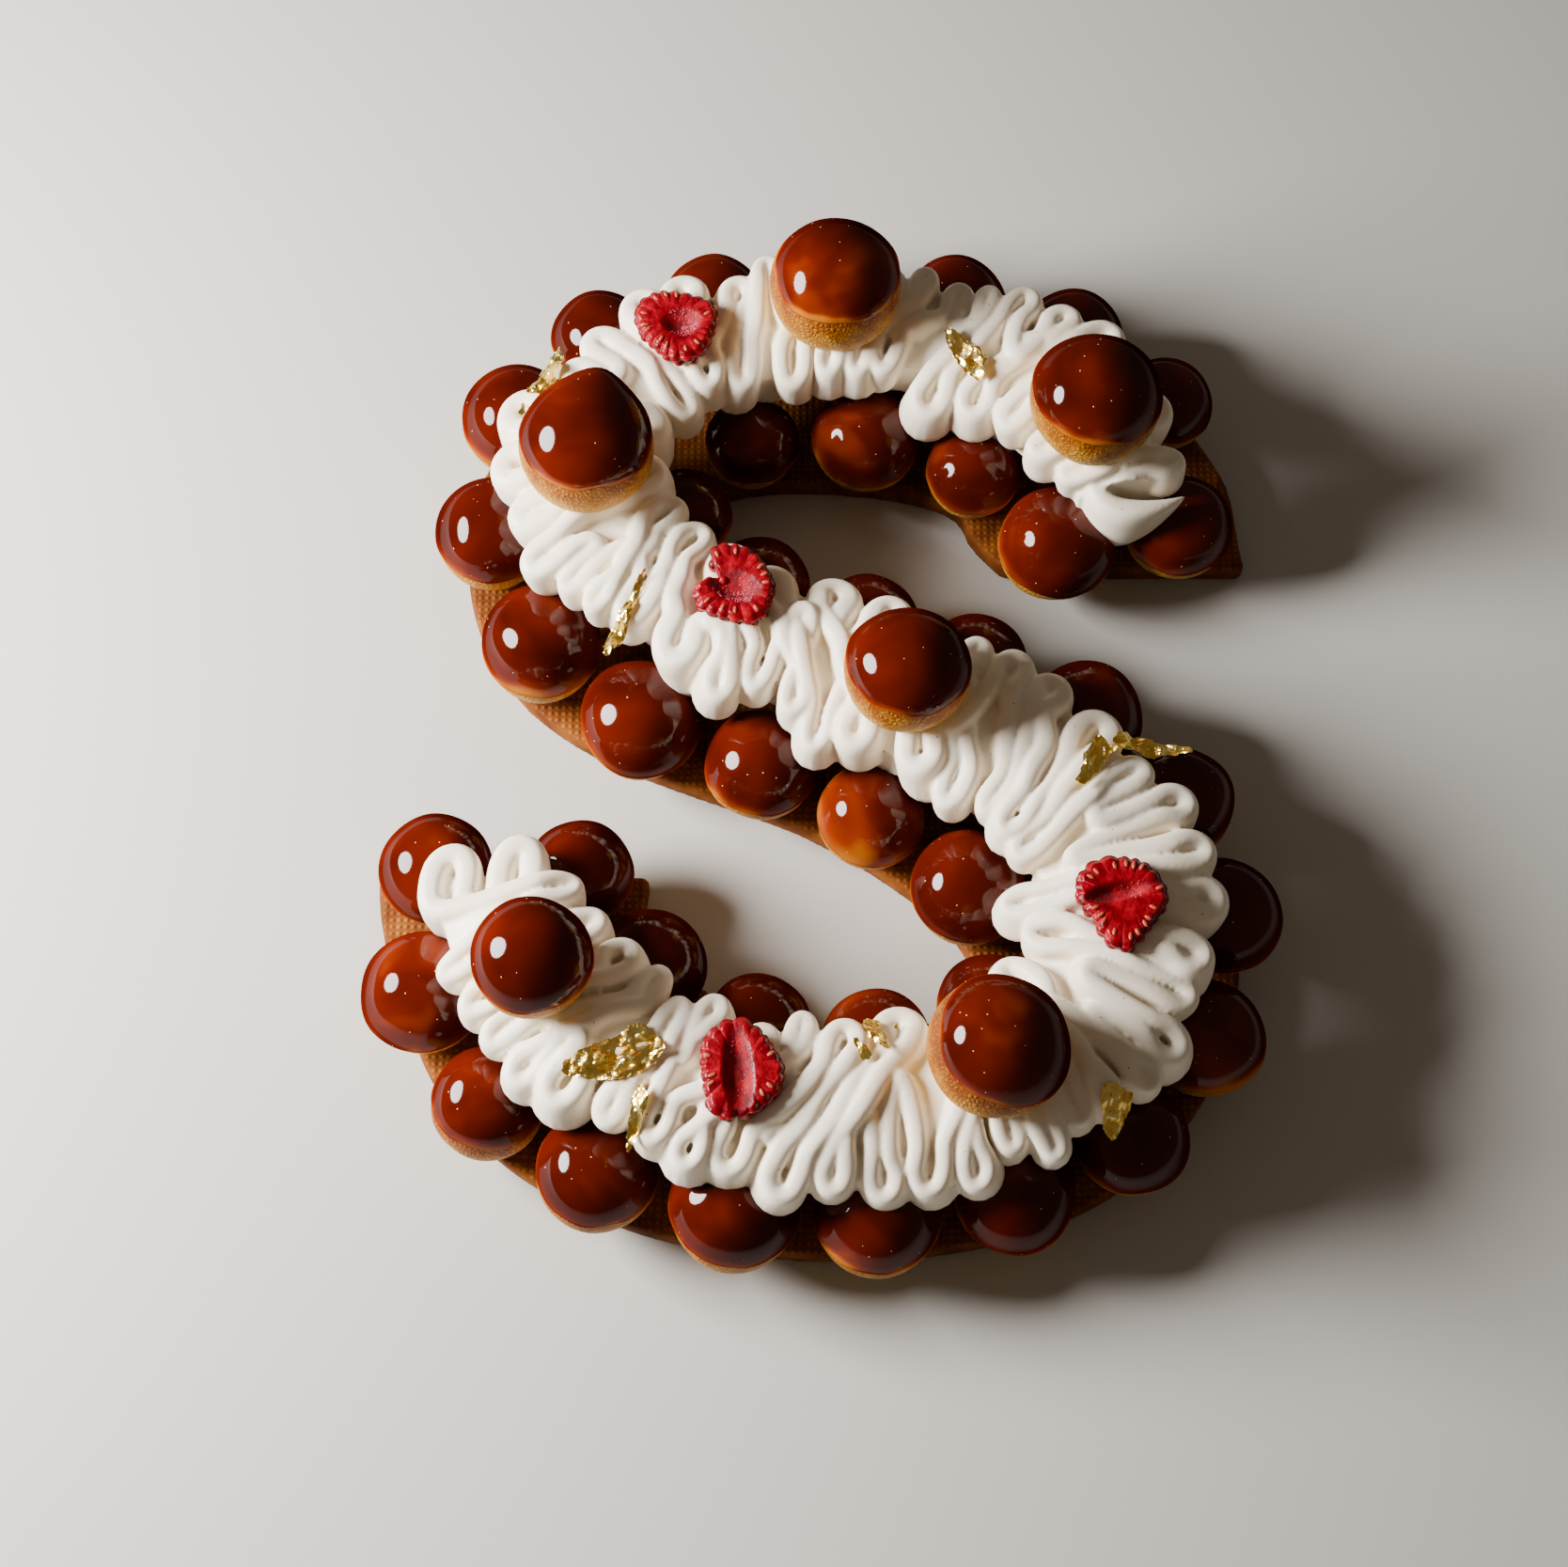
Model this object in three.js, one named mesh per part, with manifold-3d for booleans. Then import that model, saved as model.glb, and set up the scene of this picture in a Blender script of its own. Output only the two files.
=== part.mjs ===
// Letter cake: an S cut from a sheet of baked shortcrust, a row of glazed cream puffs along each edge of its
// stroke, whipped cream piped to and fro between the rows and over their shoulders, and on the cream more
// puffs, halved raspberries and crumpled leaves of gold.
// Millimetres. The cake lies flat with +Z up, and the letter reads with +X to the right and +Y up the page.
//
// Everything follows the stroke of the letter. A place on the cake is given by how far along the stroke it
// is, and how far to the side of the stroke's middle line, left being positive as the stroke is drawn.

import * as THREE from "three";
import { mergeVertices } from "three/addons/utils/BufferGeometryUtils.js";
import Module from "manifold-3d";

// Control points of the stroke's middle line, from the upper end of the letter to the lower one. Each holds
// x, y, half the distance between the two rows of puffs, how far the piped passes lean along the stroke for
// each millimetre across it, and how far the cream stops short of the right row's middle and of the left's.
const STROKE = [
  [98, 88, 20, 0, 3, 16],
  [93, 116, 39, 0.1, 7, 12],
  [72, 141, 29, 0.3, 8, 8],
  [29, 153, 28, 0.3, 5, 8],
  [-38, 154, 27, 0.2, 3, 5],
  [-71, 129, 29, 0, 3, 0],
  [-77, 83, 32, -0.1, 0, 0],
  [-43, 45, 30, -0.4, 6, 2],
  [2, 33, 28, -0.5, 4, 3],
  [55, 6, 33, -0.4, 6, 5],
  [91, -26, 36, 0, 2, 3],
  [91, -77, 31, 0.1, 2, 3],
  [56, -107, 26, 0.4, -1, -2],
  [-5, -111, 26, 0.5, 4, -1],
  [-58, -96, 31, 0.4, 3, 5],
  [-94, -62, 32, 0, -1, 5],
  [-93, -22, 20, 0, 6, 4],
];
const STROKE_STEPS = 1600;

// The rows of puffs end a little before the stroke does. The right row leaves a wide gap after its first
// puff, where it turns the upper corner, and stands a little looser round the upper bowl.
const ROW_END_TRIM = 6;
const CORNER_GAP = 11;
const BOWL_GAP = 2.4;
const BOWL_PUFFS = 10;

// The shortcrust base.
const BASE_THICKNESS = 8;
const BASE_MARGIN = 8.5;
const BASE_BOWL_MARGIN = 5.5;
const BASE_BOWL_FROM = 215;
const BASE_BOWL_TO = 315;
const BASE_TERMINAL_MARGIN = 14;
const BASE_UPPER_LEFT_SHARE = 0.4;
const BASE_TERMINAL_RUN = 34;
const BASE_TERMINAL_OVERRUN = 18;
const UPPER_CUT_Y = 84.5;
const LOWER_CUT_Y = -23.5;
const BASE_OUTLINE_STEP = 17;
const BASE_EDGE_ROUND = 1;

// The puffs. A profile point is the distance from the axis and the height, both as parts of the radius.
const PUFF_PROFILE = [
  [0, 0],
  [0.5, 0],
  [0.91, 0.38],
  [1, 0.86],
  [0.88, 1.32],
  [0.52, 1.67],
  [0, 1.8],
];
const PUFF_WIDEST_POINT = 3;
const PUFF_SIDES = 10;
const ROOM_PROFILE = [
  [0, -0.2],
  [0.8, -0.1],
  [1.02, 0.6],
  [1.02, 1],
  [0.85, 1.45],
  [0.42, 1.8],
  [0, 1.92],
];
const ROOM_SIDES = 8;
const PUFF_UNEVENNESS = 0.02;
const RIGHT_ROW_RADII = [
  17.5, 15.5, 17, 17.5, 17.5, 17, 17, 18.5, 18.5, 19, 19, 17.5, 16.5, 18, 16, 16, 16, 17.5, 16.5,
];
const LEFT_ROW_RADII = [
  19, 15.5, 17.5, 15.5, 15.5, 16.5, 16.5, 16.5, 18, 17.5, 18, 17.5, 17, 17.5, 18.5, 19, 18, 17, 18.5, 17.5,
];

// The piped cream. Its ribbon turns at one side of the stroke and then at the other, a lobe at each turn.
const LOBE_PITCH = 15.5;
const LOBE_HALF_WIDTH = 4.7;
const LOBE_SCATTER_ALONG = 1.3;
const LOBE_SCATTER_ACROSS = 2.5;
const CREAM_EDGE_HEIGHT = 50;
const CREAM_CROWN = 9;
const CREAM_HEIGHT_SCATTER = 2;
const CREAM_START = 2;
const CREAM_END_TRIM = 5;
const CREAM_START_RUN = 8;
const CREAM_END_RUN = 16;
const CREAM_END_NARROWING = 0.6;
const CREAM_FOOT_INSET = 21.5;
const CREAM_LEAST_FOOT = 1.2;
const CREAM_RAISED_FOOT = 26;
const CREAM_WAIST_HEIGHT = 28;
const CREAM_SAG_HEIGHT = 32;
const CREAM_OVER_PUFF = 2;
const CREAM_LEAST_DEPTH = 2;
const LOBE_LIP_INSET = 1.2;
const LOBE_BELLY_DROP = 6;
const LOBE_RIM_INSET = 2.6;
const LEAST_RIM_SHARE = 0.7;
const LEAST_STEP = 0.6;
const GROOVE_DEPTH = 6;
const MOUTH_DEPTH = 11;
const MOUTH_NOTCH = 5;
const ACROSS = [-0.55, 0, 0.55];

// Things that lie on the cream: x, y, radius or half length, turn in degrees about the vertical.
const TOP_PUFFS = [
  [7, 154, 19],
  [87, 110, 20],
  [-70, 94, 20],
  [27, 17, 18.5],
  [-80, -73, 17.5],
  [50, -99, 19],
];
const TOP_PUFF_FOOT = 54;
// Only the last puffs of a row stand so close that the cream between them is cut to their shape.
const ROOMS_AT_ENDS = 1;
const RASPBERRIES = [
  [-43, 140.5, 13.5, -50],
  [-24, 48, 13, 60],
  [87.5, -54, 13.5, 15],
  [-20, -104.5, 14, -80],
];
const RASPBERRY_FOOT = 53;
const RASPBERRY_THICKNESS = 12;
const RASPBERRY_WIDTH = 0.8;
const RASPBERRY_LOBES = 9;
const RASPBERRY_LOBE_DEPTH = 0.07;
const RASPBERRY_TAPER = 0.22;
const RASPBERRY_PROFILE = [
  [0, 0],
  [0.7, 0.12],
  [1, 0.55],
  [0.9, 0.95],
  [0.62, 0.92],
  [0, 0.6],
];

// Leaves of gold: x, y, length, width, turn in degrees.
const GOLD_LEAVES = [
  [-84, 131, 20, 11, 70],
  [48, 135, 20, 11, -50],
  [-57, 43, 26, 6, 65],
  [81, -9, 18, 10, 60],
  [100, 0, 24, 9, -5],
  [-56, -100, 26, 14, 20],
  [-50.5, -118, 12, 5, 85],
  [17, -91, 12, 7, -60],
  [83, -114, 15, 11, 80],
];
const LEAF_THICKNESS = 0.5;
const LEAF_WAVE = 1.1;
const LEAF_RAGGEDNESS = 0.25;
const LEAF_CELLS_LONG = 5;
const LEAF_CELLS_WIDE = 2;
const LEAF_CLEARANCE = 0.9;
const LEAF_REACH = 3;

const CLEARANCE = 0.3;
const MERGE_TOLERANCE = 1e-3;
const ABOVE_EVERYTHING = 200;
const LOOSEST_GAP = 12;
const HALVINGS = 30;
const DEGREE = Math.PI / 180;

// What each channel of the scatter is for.
const CHANNELS = { oval: 3, bulge: 4, along: 5, reach: 6, height: 7, ragged: 8, wave: 12 };

const wasm = await Module();
wasm.setup();

// A repeatable scatter between -1 and 1: the same key and channel always give the same value.
function scatter(key, channel) {
  const wave = Math.sin(key * 12.9898 + channel * 78.233) * 43758.5453;
  return 2 * (wave - Math.floor(wave)) - 1;
}

// Rises smoothly from 0 to 1 as x goes from a to b.
function smoothRise(a, b, x) {
  return THREE.MathUtils.smoothstep(x, a, b);
}

// The stroke

// The uniform cubic B-spline of four neighbouring control values.
function blend(a, b, c, d, u) {
  const first = (1 - u) ** 3 * a;
  const second = (3 * u ** 3 - 6 * u ** 2 + 4) * b;
  const third = (-3 * u ** 3 + 3 * u ** 2 + 3 * u + 1) * c;
  return (first + second + third + u ** 3 * d) / 6;
}

// Samples of the middle line: each holds what a control point holds, and the length of the line up to it.
function sampleStroke() {
  const mirrored = (end, next) => end.map((value, i) => 2 * value - next[i]);
  const last = STROKE.length - 1;
  const points = [mirrored(STROKE[0], STROKE[1]), ...STROKE, mirrored(STROKE[last], STROKE[last - 1])];
  const samples = [];
  let length = 0;
  for (let k = 0; k <= STROKE_STEPS; k++) {
    const place = (k / STROKE_STEPS) * last;
    const i = Math.min(Math.floor(place), last - 1);
    const u = place - i;
    const [x, y, half, lean, shortRight, shortLeft] = STROKE[0].map((_, n) =>
      blend(points[i][n], points[i + 1][n], points[i + 2][n], points[i + 3][n], u),
    );
    const before = samples.at(-1);
    if (before) length += Math.hypot(x - before.x, y - before.y);
    samples.push({ x, y, half, lean, shortRight, shortLeft, length });
  }
  return samples;
}

const samples = sampleStroke();
const strokeLength = samples.at(-1).length;

// The middle line at a length along it, continued straight past both ends.
function strokeAt(along) {
  let low = 0;
  let high = STROKE_STEPS;
  while (high - low > 1) {
    const middle = (low + high) >> 1;
    if (samples[middle].length <= along) low = middle;
    else high = middle;
  }
  const a = samples[low];
  const b = samples[high];
  const u = (along - a.length) / (b.length - a.length);
  const inside = THREE.MathUtils.clamp(u, 0, 1);
  const between = (name, part) => THREE.MathUtils.lerp(a[name], b[name], part);
  return {
    x: between("x", u),
    y: between("y", u),
    half: between("half", inside),
    lean: between("lean", inside),
    shortRight: between("shortRight", inside),
    shortLeft: between("shortLeft", inside),
    direction: new THREE.Vector2(b.x - a.x, b.y - a.y).normalize(),
  };
}

// The point at a length along the stroke and a distance to its left.
function plan(along, across) {
  const { x, y, direction } = strokeAt(along);
  return new THREE.Vector2(x - direction.y * across, y + direction.x * across);
}

// The shortcrust base

function baseMargin(along, side) {
  const fromEnd = Math.min(along, strokeLength - along);
  const share = side > 0 && along < strokeLength / 2 ? BASE_UPPER_LEFT_SHARE : 1;
  const terminal = share * BASE_TERMINAL_MARGIN * (1 - smoothRise(0, BASE_TERMINAL_RUN, fromEnd));
  const middle = (BASE_BOWL_FROM + BASE_BOWL_TO) / 2;
  const inBowl = smoothRise(BASE_BOWL_FROM, middle, along) * (1 - smoothRise(middle, BASE_BOWL_TO, along));
  return BASE_MARGIN + terminal + (side < 0 ? BASE_BOWL_MARGIN * inBowl : 0);
}

// Where the line from a to b meets the straight cut at height y.
function atCut(a, b, y) {
  return a.clone().lerp(b, (y - a.y) / (b.y - a.y));
}

// One edge of the base, ended by the two straight cuts: the letter's ends hang below the upper cut line and
// rise to the lower one.
function baseEdge(side) {
  const from = -BASE_TERMINAL_OVERRUN;
  const to = strokeLength + BASE_TERMINAL_OVERRUN;
  const count = Math.round((to - from) / BASE_OUTLINE_STEP);
  const edge = [];
  for (let k = 0; k <= count; k++) {
    const along = from + (k / count) * (to - from);
    const reach = strokeAt(along).half + baseMargin(along, side);
    edge.push(plan(along, side * reach));
  }
  while (edge[1].y < UPPER_CUT_Y) edge.shift();
  edge[0] = atCut(edge[0], edge[1], UPPER_CUT_Y);
  while (edge.at(-2).y > LOWER_CUT_Y) edge.pop();
  edge[edge.length - 1] = atCut(edge.at(-2), edge.at(-1), LOWER_CUT_Y);
  return edge;
}

function baseGeometry() {
  const outline = [...baseEdge(-1), ...baseEdge(1).reverse()];
  const shape = new THREE.Shape(outline);
  const geometry = new THREE.ExtrudeGeometry(shape, {
    depth: BASE_THICKNESS - 2 * BASE_EDGE_ROUND,
    bevelEnabled: true,
    bevelThickness: BASE_EDGE_ROUND,
    bevelSize: BASE_EDGE_ROUND,
    bevelOffset: -BASE_EDGE_ROUND,
    bevelSegments: 1,
    steps: 1,
  });
  return geometry.translate(0, 0, BASE_EDGE_ROUND);
}

// The puffs

// A turned shape, not quite round. The key says where it swells.
function unevenLathe(profile, sides, key) {
  const geometry = new THREE.LatheGeometry(profile, sides).rotateX(Math.PI / 2);
  const position = geometry.attributes.position;
  for (let i = 0; i < position.count; i++) {
    const x = position.getX(i);
    const y = position.getY(i);
    const turn = Math.atan2(y, x);
    const oval = Math.sin(2 * turn + Math.PI * scatter(key, CHANNELS.oval));
    const bulge = Math.sin(3 * turn + Math.PI * scatter(key, CHANNELS.bulge));
    const swell = 1 + PUFF_UNEVENNESS * (oval + bulge);
    position.setXY(i, x * swell, y * swell);
  }
  return geometry;
}

function puffGeometry(radius, key) {
  const profile = PUFF_PROFILE.map(([r, z]) => new THREE.Vector2(r * radius, z * radius));
  return unevenLathe(profile, PUFF_SIDES, key);
}

// The room that a puff takes in the cream: its own shape with clearance all round, as a plainer dome.
function puffRoom(radius, key) {
  const outside = (radius + 2 * CLEARANCE) / Math.cos(Math.PI / ROOM_SIDES);
  const profile = ROOM_PROFILE.map(([r, z]) => new THREE.Vector2(r * outside, z * radius));
  return unevenLathe(profile, ROOM_SIDES, key);
}

// How much wider than the others the gap before a puff of the right row is.
function looseness(i) {
  if (i === 1) return CORNER_GAP;
  return i < BOWL_PUFFS ? BOWL_GAP : 0;
}

// Centres of a row of puffs: each stands off the one before by both radii and the same small gap, which is
// found by halving so that the last puff comes to the row's end.
function rowPlaces(radii, side) {
  const end = strokeLength - ROW_END_TRIM;
  const rowPoint = (along) => plan(along, side * strokeAt(along).half);
  const march = (gap) => {
    const alongs = [0];
    for (let i = 1; i < radii.length; i++) {
      const from = rowPoint(alongs[i - 1]);
      const apart = radii[i - 1] + radii[i] + gap + (side < 0 ? looseness(i) : 0);
      let low = alongs[i - 1];
      let high = low + 3 * apart;
      for (let turn = 0; turn < HALVINGS; turn++) {
        const middle = (low + high) / 2;
        if (rowPoint(middle).distanceTo(from) < apart) low = middle;
        else high = middle;
      }
      alongs.push(low);
    }
    return alongs;
  };
  let tight = 0;
  let loose = LOOSEST_GAP;
  for (let turn = 0; turn < HALVINGS; turn++) {
    const middle = (tight + loose) / 2;
    if (march(middle).at(-1) < end) tight = middle;
    else loose = middle;
  }
  return march(tight).map(rowPoint);
}

// Solids and cuts

function solidFrom(geometry) {
  const bare = geometry.clone();
  bare.deleteAttribute("normal");
  bare.deleteAttribute("uv");
  const merged = mergeVertices(bare, MERGE_TOLERANCE);
  const mesh = new wasm.Mesh({
    numProp: 3,
    vertProperties: new Float32Array(merged.attributes.position.array),
    triVerts: new Uint32Array(merged.index.array),
  });
  return new wasm.Manifold(mesh);
}

function geometryFrom(solid) {
  const mesh = solid.getMesh();
  const geometry = new THREE.BufferGeometry();
  geometry.setAttribute("position", new THREE.BufferAttribute(mesh.vertProperties, 3));
  geometry.setIndex(new THREE.BufferAttribute(mesh.triVerts, 1));
  geometry.computeVertexNormals();
  return geometry;
}

// The largest piece of a solid that a cut has split.
function largestPiece(solid) {
  return solid.decompose().reduce((best, piece) => (piece.volume() > best.volume() ? piece : best));
}

// The piped cream

// How much of its full width the cream has near the stroke's two ends.
function widthAt(along) {
  const end = strokeLength - CREAM_END_TRIM;
  const atStart = smoothRise(-CREAM_START_RUN, CREAM_START_RUN, along);
  return atStart * (1 - CREAM_END_NARROWING * smoothRise(end - CREAM_END_RUN, end, along));
}

// A turn of the ribbon: its place along the stroke, its side, how far out it reaches and how high it stands.
function ribbonTurn(i) {
  const along = CREAM_START + (i * LOBE_PITCH) / 2 + LOBE_SCATTER_ALONG * scatter(i, CHANNELS.along);
  const side = i % 2 ? 1 : -1;
  const { half, shortRight, shortLeft } = strokeAt(along);
  const short = side < 0 ? shortRight : shortLeft;
  const full = half - short + LOBE_SCATTER_ACROSS * scatter(i, CHANNELS.reach);
  const reach = full * widthAt(along);
  const height = CREAM_EDGE_HEIGHT + CREAM_HEIGHT_SCATTER * scatter(i, CHANNELS.height);
  return { along, side, reach, height };
}

// The height of the cream's underside at a point: just over the puff there, or sagging between two.
function undersideAt({ x, y }) {
  let height = CREAM_SAG_HEIGHT;
  for (const puff of rowPuffs) {
    const out = Math.hypot(x - puff.x, y - puff.y) / (puff.radius + CREAM_OVER_PUFF);
    for (let i = PUFF_WIDEST_POINT; i + 1 < PUFF_PROFILE.length; i++) {
      const [outer, low] = PUFF_PROFILE[i];
      const [inner, high] = PUFF_PROFILE[i + 1];
      if (out > outer || out < inner) continue;
      const part = (outer - out) / (outer - inner);
      const dome = THREE.MathUtils.lerp(low, high, part) * puff.radius;
      height = Math.max(height, BASE_THICKNESS + CLEARANCE + CREAM_OVER_PUFF + dome);
    }
  }
  return height;
}

// One section across the cream, as a closed ring of points from the right foot up, across and down to the
// left foot. Each end gives its place along the stroke, its reach, the height of its rim, and the height of
// the crest beside it.
function creamRing(right, left, depthInside) {
  const ends = [
    { ...right, side: -1 },
    { ...left, side: 1 },
  ];
  const lean = strokeAt((right.along + left.along) / 2).lean;
  const point = (along, across, z) => {
    const p = plan(along + lean * across, across);
    return new THREE.Vector3(p.x, p.y, z);
  };
  const walls = ends.map(({ along, reach, height, side }) => {
    const spare = strokeAt(along).half - CREAM_FOOT_INSET;
    const foot = Math.max(spare, CREAM_LEAST_FOOT);
    const floor = spare > CREAM_LEAST_FOOT ? BASE_THICKNESS + CLEARANCE : CREAM_RAISED_FOOT;
    const lip = Math.max(reach - LOBE_LIP_INSET, foot + LEAST_STEP);
    const outside = Math.max(reach, lip + LEAST_STEP);
    const rim = Math.max(reach - LOBE_RIM_INSET, LEAST_RIM_SHARE * reach);
    const under = (across) => {
      const p = point(along, side * across, 0);
      return p.setZ(undersideAt(p));
    };
    const belly = Math.max(height - LOBE_BELLY_DROP, under(outside).z + CREAM_LEAST_DEPTH);
    return [
      point(along, side * foot, floor),
      point(along, side * foot, CREAM_WAIST_HEIGHT),
      under((foot + lip) / 2),
      under(lip),
      point(along, side * outside, belly),
      point(along, side * rim, Math.max(height, belly + CREAM_LEAST_DEPTH)),
    ];
  });
  const top = ACROSS.map((w) => {
    const part = (w + 1) / 2;
    const along = THREE.MathUtils.lerp(right.along, left.along, part);
    const reach = THREE.MathUtils.lerp(right.reach, left.reach, part);
    const rim = THREE.MathUtils.lerp(right.crest, left.crest, part);
    return point(along, w * reach, rim + CREAM_CROWN * (1 - w * w) - depthInside);
  });
  return [...walls[0], ...top, ...walls[1].reverse()];
}

// A flat section that closes the cream at an end of the stroke, beside the turn that is next to it.
function closingRing({ along, reach, height }, beyond) {
  const end = { along: along + beyond, reach, height, crest: height };
  return creamRing(end, end, 0);
}

function creamRings() {
  const count = Math.floor((2 * (strokeLength - CREAM_START - CREAM_END_TRIM)) / LOBE_PITCH);
  const rings = [closingRing(ribbonTurn(0), -LOBE_HALF_WIDTH)];
  for (let i = 0; i < count; i++) {
    const turns = [ribbonTurn(i - 1), ribbonTurn(i), ribbonTurn(i + 1)];
    const [before, here, after] = turns;
    // The groove of this turn: closed by the lobe at its own side, open between two lobes at the other.
    const tip = { along: here.along, reach: here.reach, height: here.height, crest: here.height };
    const mouthReach = Math.min(before.reach, after.reach) - MOUTH_NOTCH;
    const mouthCrest = (before.height + after.height) / 2;
    const mouth = {
      along: here.along,
      reach: mouthReach,
      height: mouthCrest - MOUTH_DEPTH,
      crest: mouthCrest,
    };
    rings.push(here.side < 0 ? creamRing(tip, mouth, GROOVE_DEPTH) : creamRing(mouth, tip, GROOVE_DEPTH));
    // The ridge from this turn to the next, straight across the stroke.
    const start = {
      along: here.along + LOBE_HALF_WIDTH,
      reach: here.reach - LOBE_RIM_INSET,
      height: here.height,
      crest: here.height,
    };
    const end = {
      along: after.along - LOBE_HALF_WIDTH,
      reach: after.reach - LOBE_RIM_INSET,
      height: after.height,
      crest: after.height,
    };
    rings.push(here.side < 0 ? creamRing(start, end, 0) : creamRing(end, start, 0));
  }
  rings.push(closingRing(ribbonTurn(count), 0));
  return rings;
}

// A closed body through rings of the same number of points. The two end rings are flat, and a fan from the
// crest's middle, which sees all of the ring, closes each.
function loftGeometry(rings) {
  const around = rings[0].length;
  const crest = (around - 1) / 2;
  const points = rings.flat();
  const faces = [];
  for (let k = 0; k + 1 < rings.length; k++) {
    for (let j = 0; j < around; j++) {
      const a = k * around + j;
      const b = k * around + ((j + 1) % around);
      faces.push(a, b + around, b, a, a + around, b + around);
    }
  }
  const lastRing = (rings.length - 1) * around;
  for (let j = 1; j + 1 < around; j++) {
    const a = (crest + j) % around;
    const b = (crest + j + 1) % around;
    faces.push(crest, a, b);
    faces.push(lastRing + crest, lastRing + b, lastRing + a);
  }
  const geometry = new THREE.BufferGeometry().setFromPoints(points);
  geometry.setIndex(faces);
  return geometry;
}

// Raspberries and gold

// Half a raspberry with its cut side up: a rim of drupelets round a shallow hollow.
function raspberryGeometry(halfLength, grow = 0) {
  const sides = 2 * RASPBERRY_LOBES;
  const profile = RASPBERRY_PROFILE.map(
    ([r, z]) => new THREE.Vector2(r * halfLength, z * RASPBERRY_THICKNESS),
  );
  const geometry = new THREE.LatheGeometry(profile, sides).rotateX(Math.PI / 2);
  const position = geometry.attributes.position;
  for (let i = 0; i < position.count; i++) {
    const x = position.getX(i);
    const y = position.getY(i);
    const z = position.getZ(i);
    const turn = Math.atan2(y, x);
    const lobe = 1 + RASPBERRY_LOBE_DEPTH * Math.cos(RASPBERRY_LOBES * turn);
    const taper = RASPBERRY_WIDTH * (1 - RASPBERRY_TAPER * (x / halfLength));
    const out = Math.hypot(x, y) || 1;
    const swell = lobe + grow / out;
    position.setXYZ(i, x * swell, y * swell * taper, z > RASPBERRY_THICKNESS / 2 ? z + grow : z - grow);
  }
  return geometry;
}

// The height of the highest surface within reach of a point, or the base's top if there is none.
function highestNear(surfaces, x, y, reach) {
  const down = new THREE.Vector3(0, 0, -1);
  const caster = new THREE.Raycaster();
  let highest = BASE_THICKNESS;
  for (const dx of [-reach, 0, reach]) {
    for (const dy of [-reach, 0, reach]) {
      caster.set(new THREE.Vector3(x + dx, y + dy, ABOVE_EVERYTHING), down);
      for (const hit of caster.intersectObjects(surfaces, false)) highest = Math.max(highest, hit.point.z);
    }
  }
  return highest;
}

// A thin wavy leaf with ragged sides that lies on whatever is under it. Both faces have the same triangles.
function leafGeometry([x, y, length, width, turn], key, surfaces) {
  const points = [];
  const columns = LEAF_CELLS_LONG + 1;
  const rows = LEAF_CELLS_WIDE + 1;
  for (const face of [0, 1]) {
    for (let i = 0; i < columns; i++) {
      for (let j = 0; j < rows; j++) {
        const u = i / LEAF_CELLS_LONG - 0.5;
        const v = j / LEAF_CELLS_WIDE - 0.5;
        const ragged = 1 - LEAF_RAGGEDNESS + LEAF_RAGGEDNESS * scatter(10 * key + i, CHANNELS.ragged + j);
        const narrowed = 1 - u * u;
        const p = new THREE.Vector2(u * length, v * width * ragged * narrowed);
        p.rotateAround(new THREE.Vector2(), turn * DEGREE).add(new THREE.Vector2(x, y));
        const wave = LEAF_WAVE * (1 + scatter(10 * key + i, CHANNELS.wave + j));
        const z = highestNear(surfaces, p.x, p.y, LEAF_REACH) + LEAF_CLEARANCE + wave;
        points.push(new THREE.Vector3(p.x, p.y, z + face * LEAF_THICKNESS));
      }
    }
  }
  const at = (face, i, j) => face * columns * rows + i * rows + j;
  const faces = [];
  for (let i = 0; i < LEAF_CELLS_LONG; i++) {
    for (let j = 0; j < LEAF_CELLS_WIDE; j++) {
      for (const [a, b, c] of [
        [at(1, i, j), at(1, i + 1, j), at(1, i + 1, j + 1)],
        [at(1, i, j), at(1, i + 1, j + 1), at(1, i, j + 1)],
      ]) {
        const below = columns * rows;
        faces.push(a, b, c, a - below, c - below, b - below);
      }
    }
  }
  const rim = [];
  for (let i = 0; i < columns; i++) rim.push([i, 0]);
  for (let j = 1; j < rows; j++) rim.push([columns - 1, j]);
  for (let i = columns - 2; i >= 0; i--) rim.push([i, rows - 1]);
  for (let j = rows - 2; j > 0; j--) rim.push([0, j]);
  for (let k = 0; k < rim.length; k++) {
    const [i, j] = rim[k];
    const [m, n] = rim[(k + 1) % rim.length];
    faces.push(at(0, i, j), at(0, m, n), at(1, m, n), at(0, i, j), at(1, m, n), at(1, i, j));
  }
  const geometry = new THREE.BufferGeometry().setFromPoints(points);
  geometry.setIndex(faces);
  geometry.computeVertexNormals();
  return geometry;
}

// Assembly

const crust = new THREE.MeshStandardMaterial({ color: 0xc07f45, roughness: 0.85 });
const caramel = new THREE.MeshStandardMaterial({ color: 0x8f3110, roughness: 0.12 });
const whipped = new THREE.MeshStandardMaterial({ color: 0xf3eee2, roughness: 0.5 });
const fruit = new THREE.MeshStandardMaterial({ color: 0xc0122c, roughness: 0.35 });
const gold = new THREE.MeshStandardMaterial({ color: 0xd9b24a, roughness: 0.25, metalness: 1 });

const cake = new THREE.Group();

function add(name, geometry, material) {
  const mesh = new THREE.Mesh(geometry, material);
  mesh.name = name;
  cake.add(mesh);
  return mesh;
}

add("shortcrust_base", baseGeometry(), crust);

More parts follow.
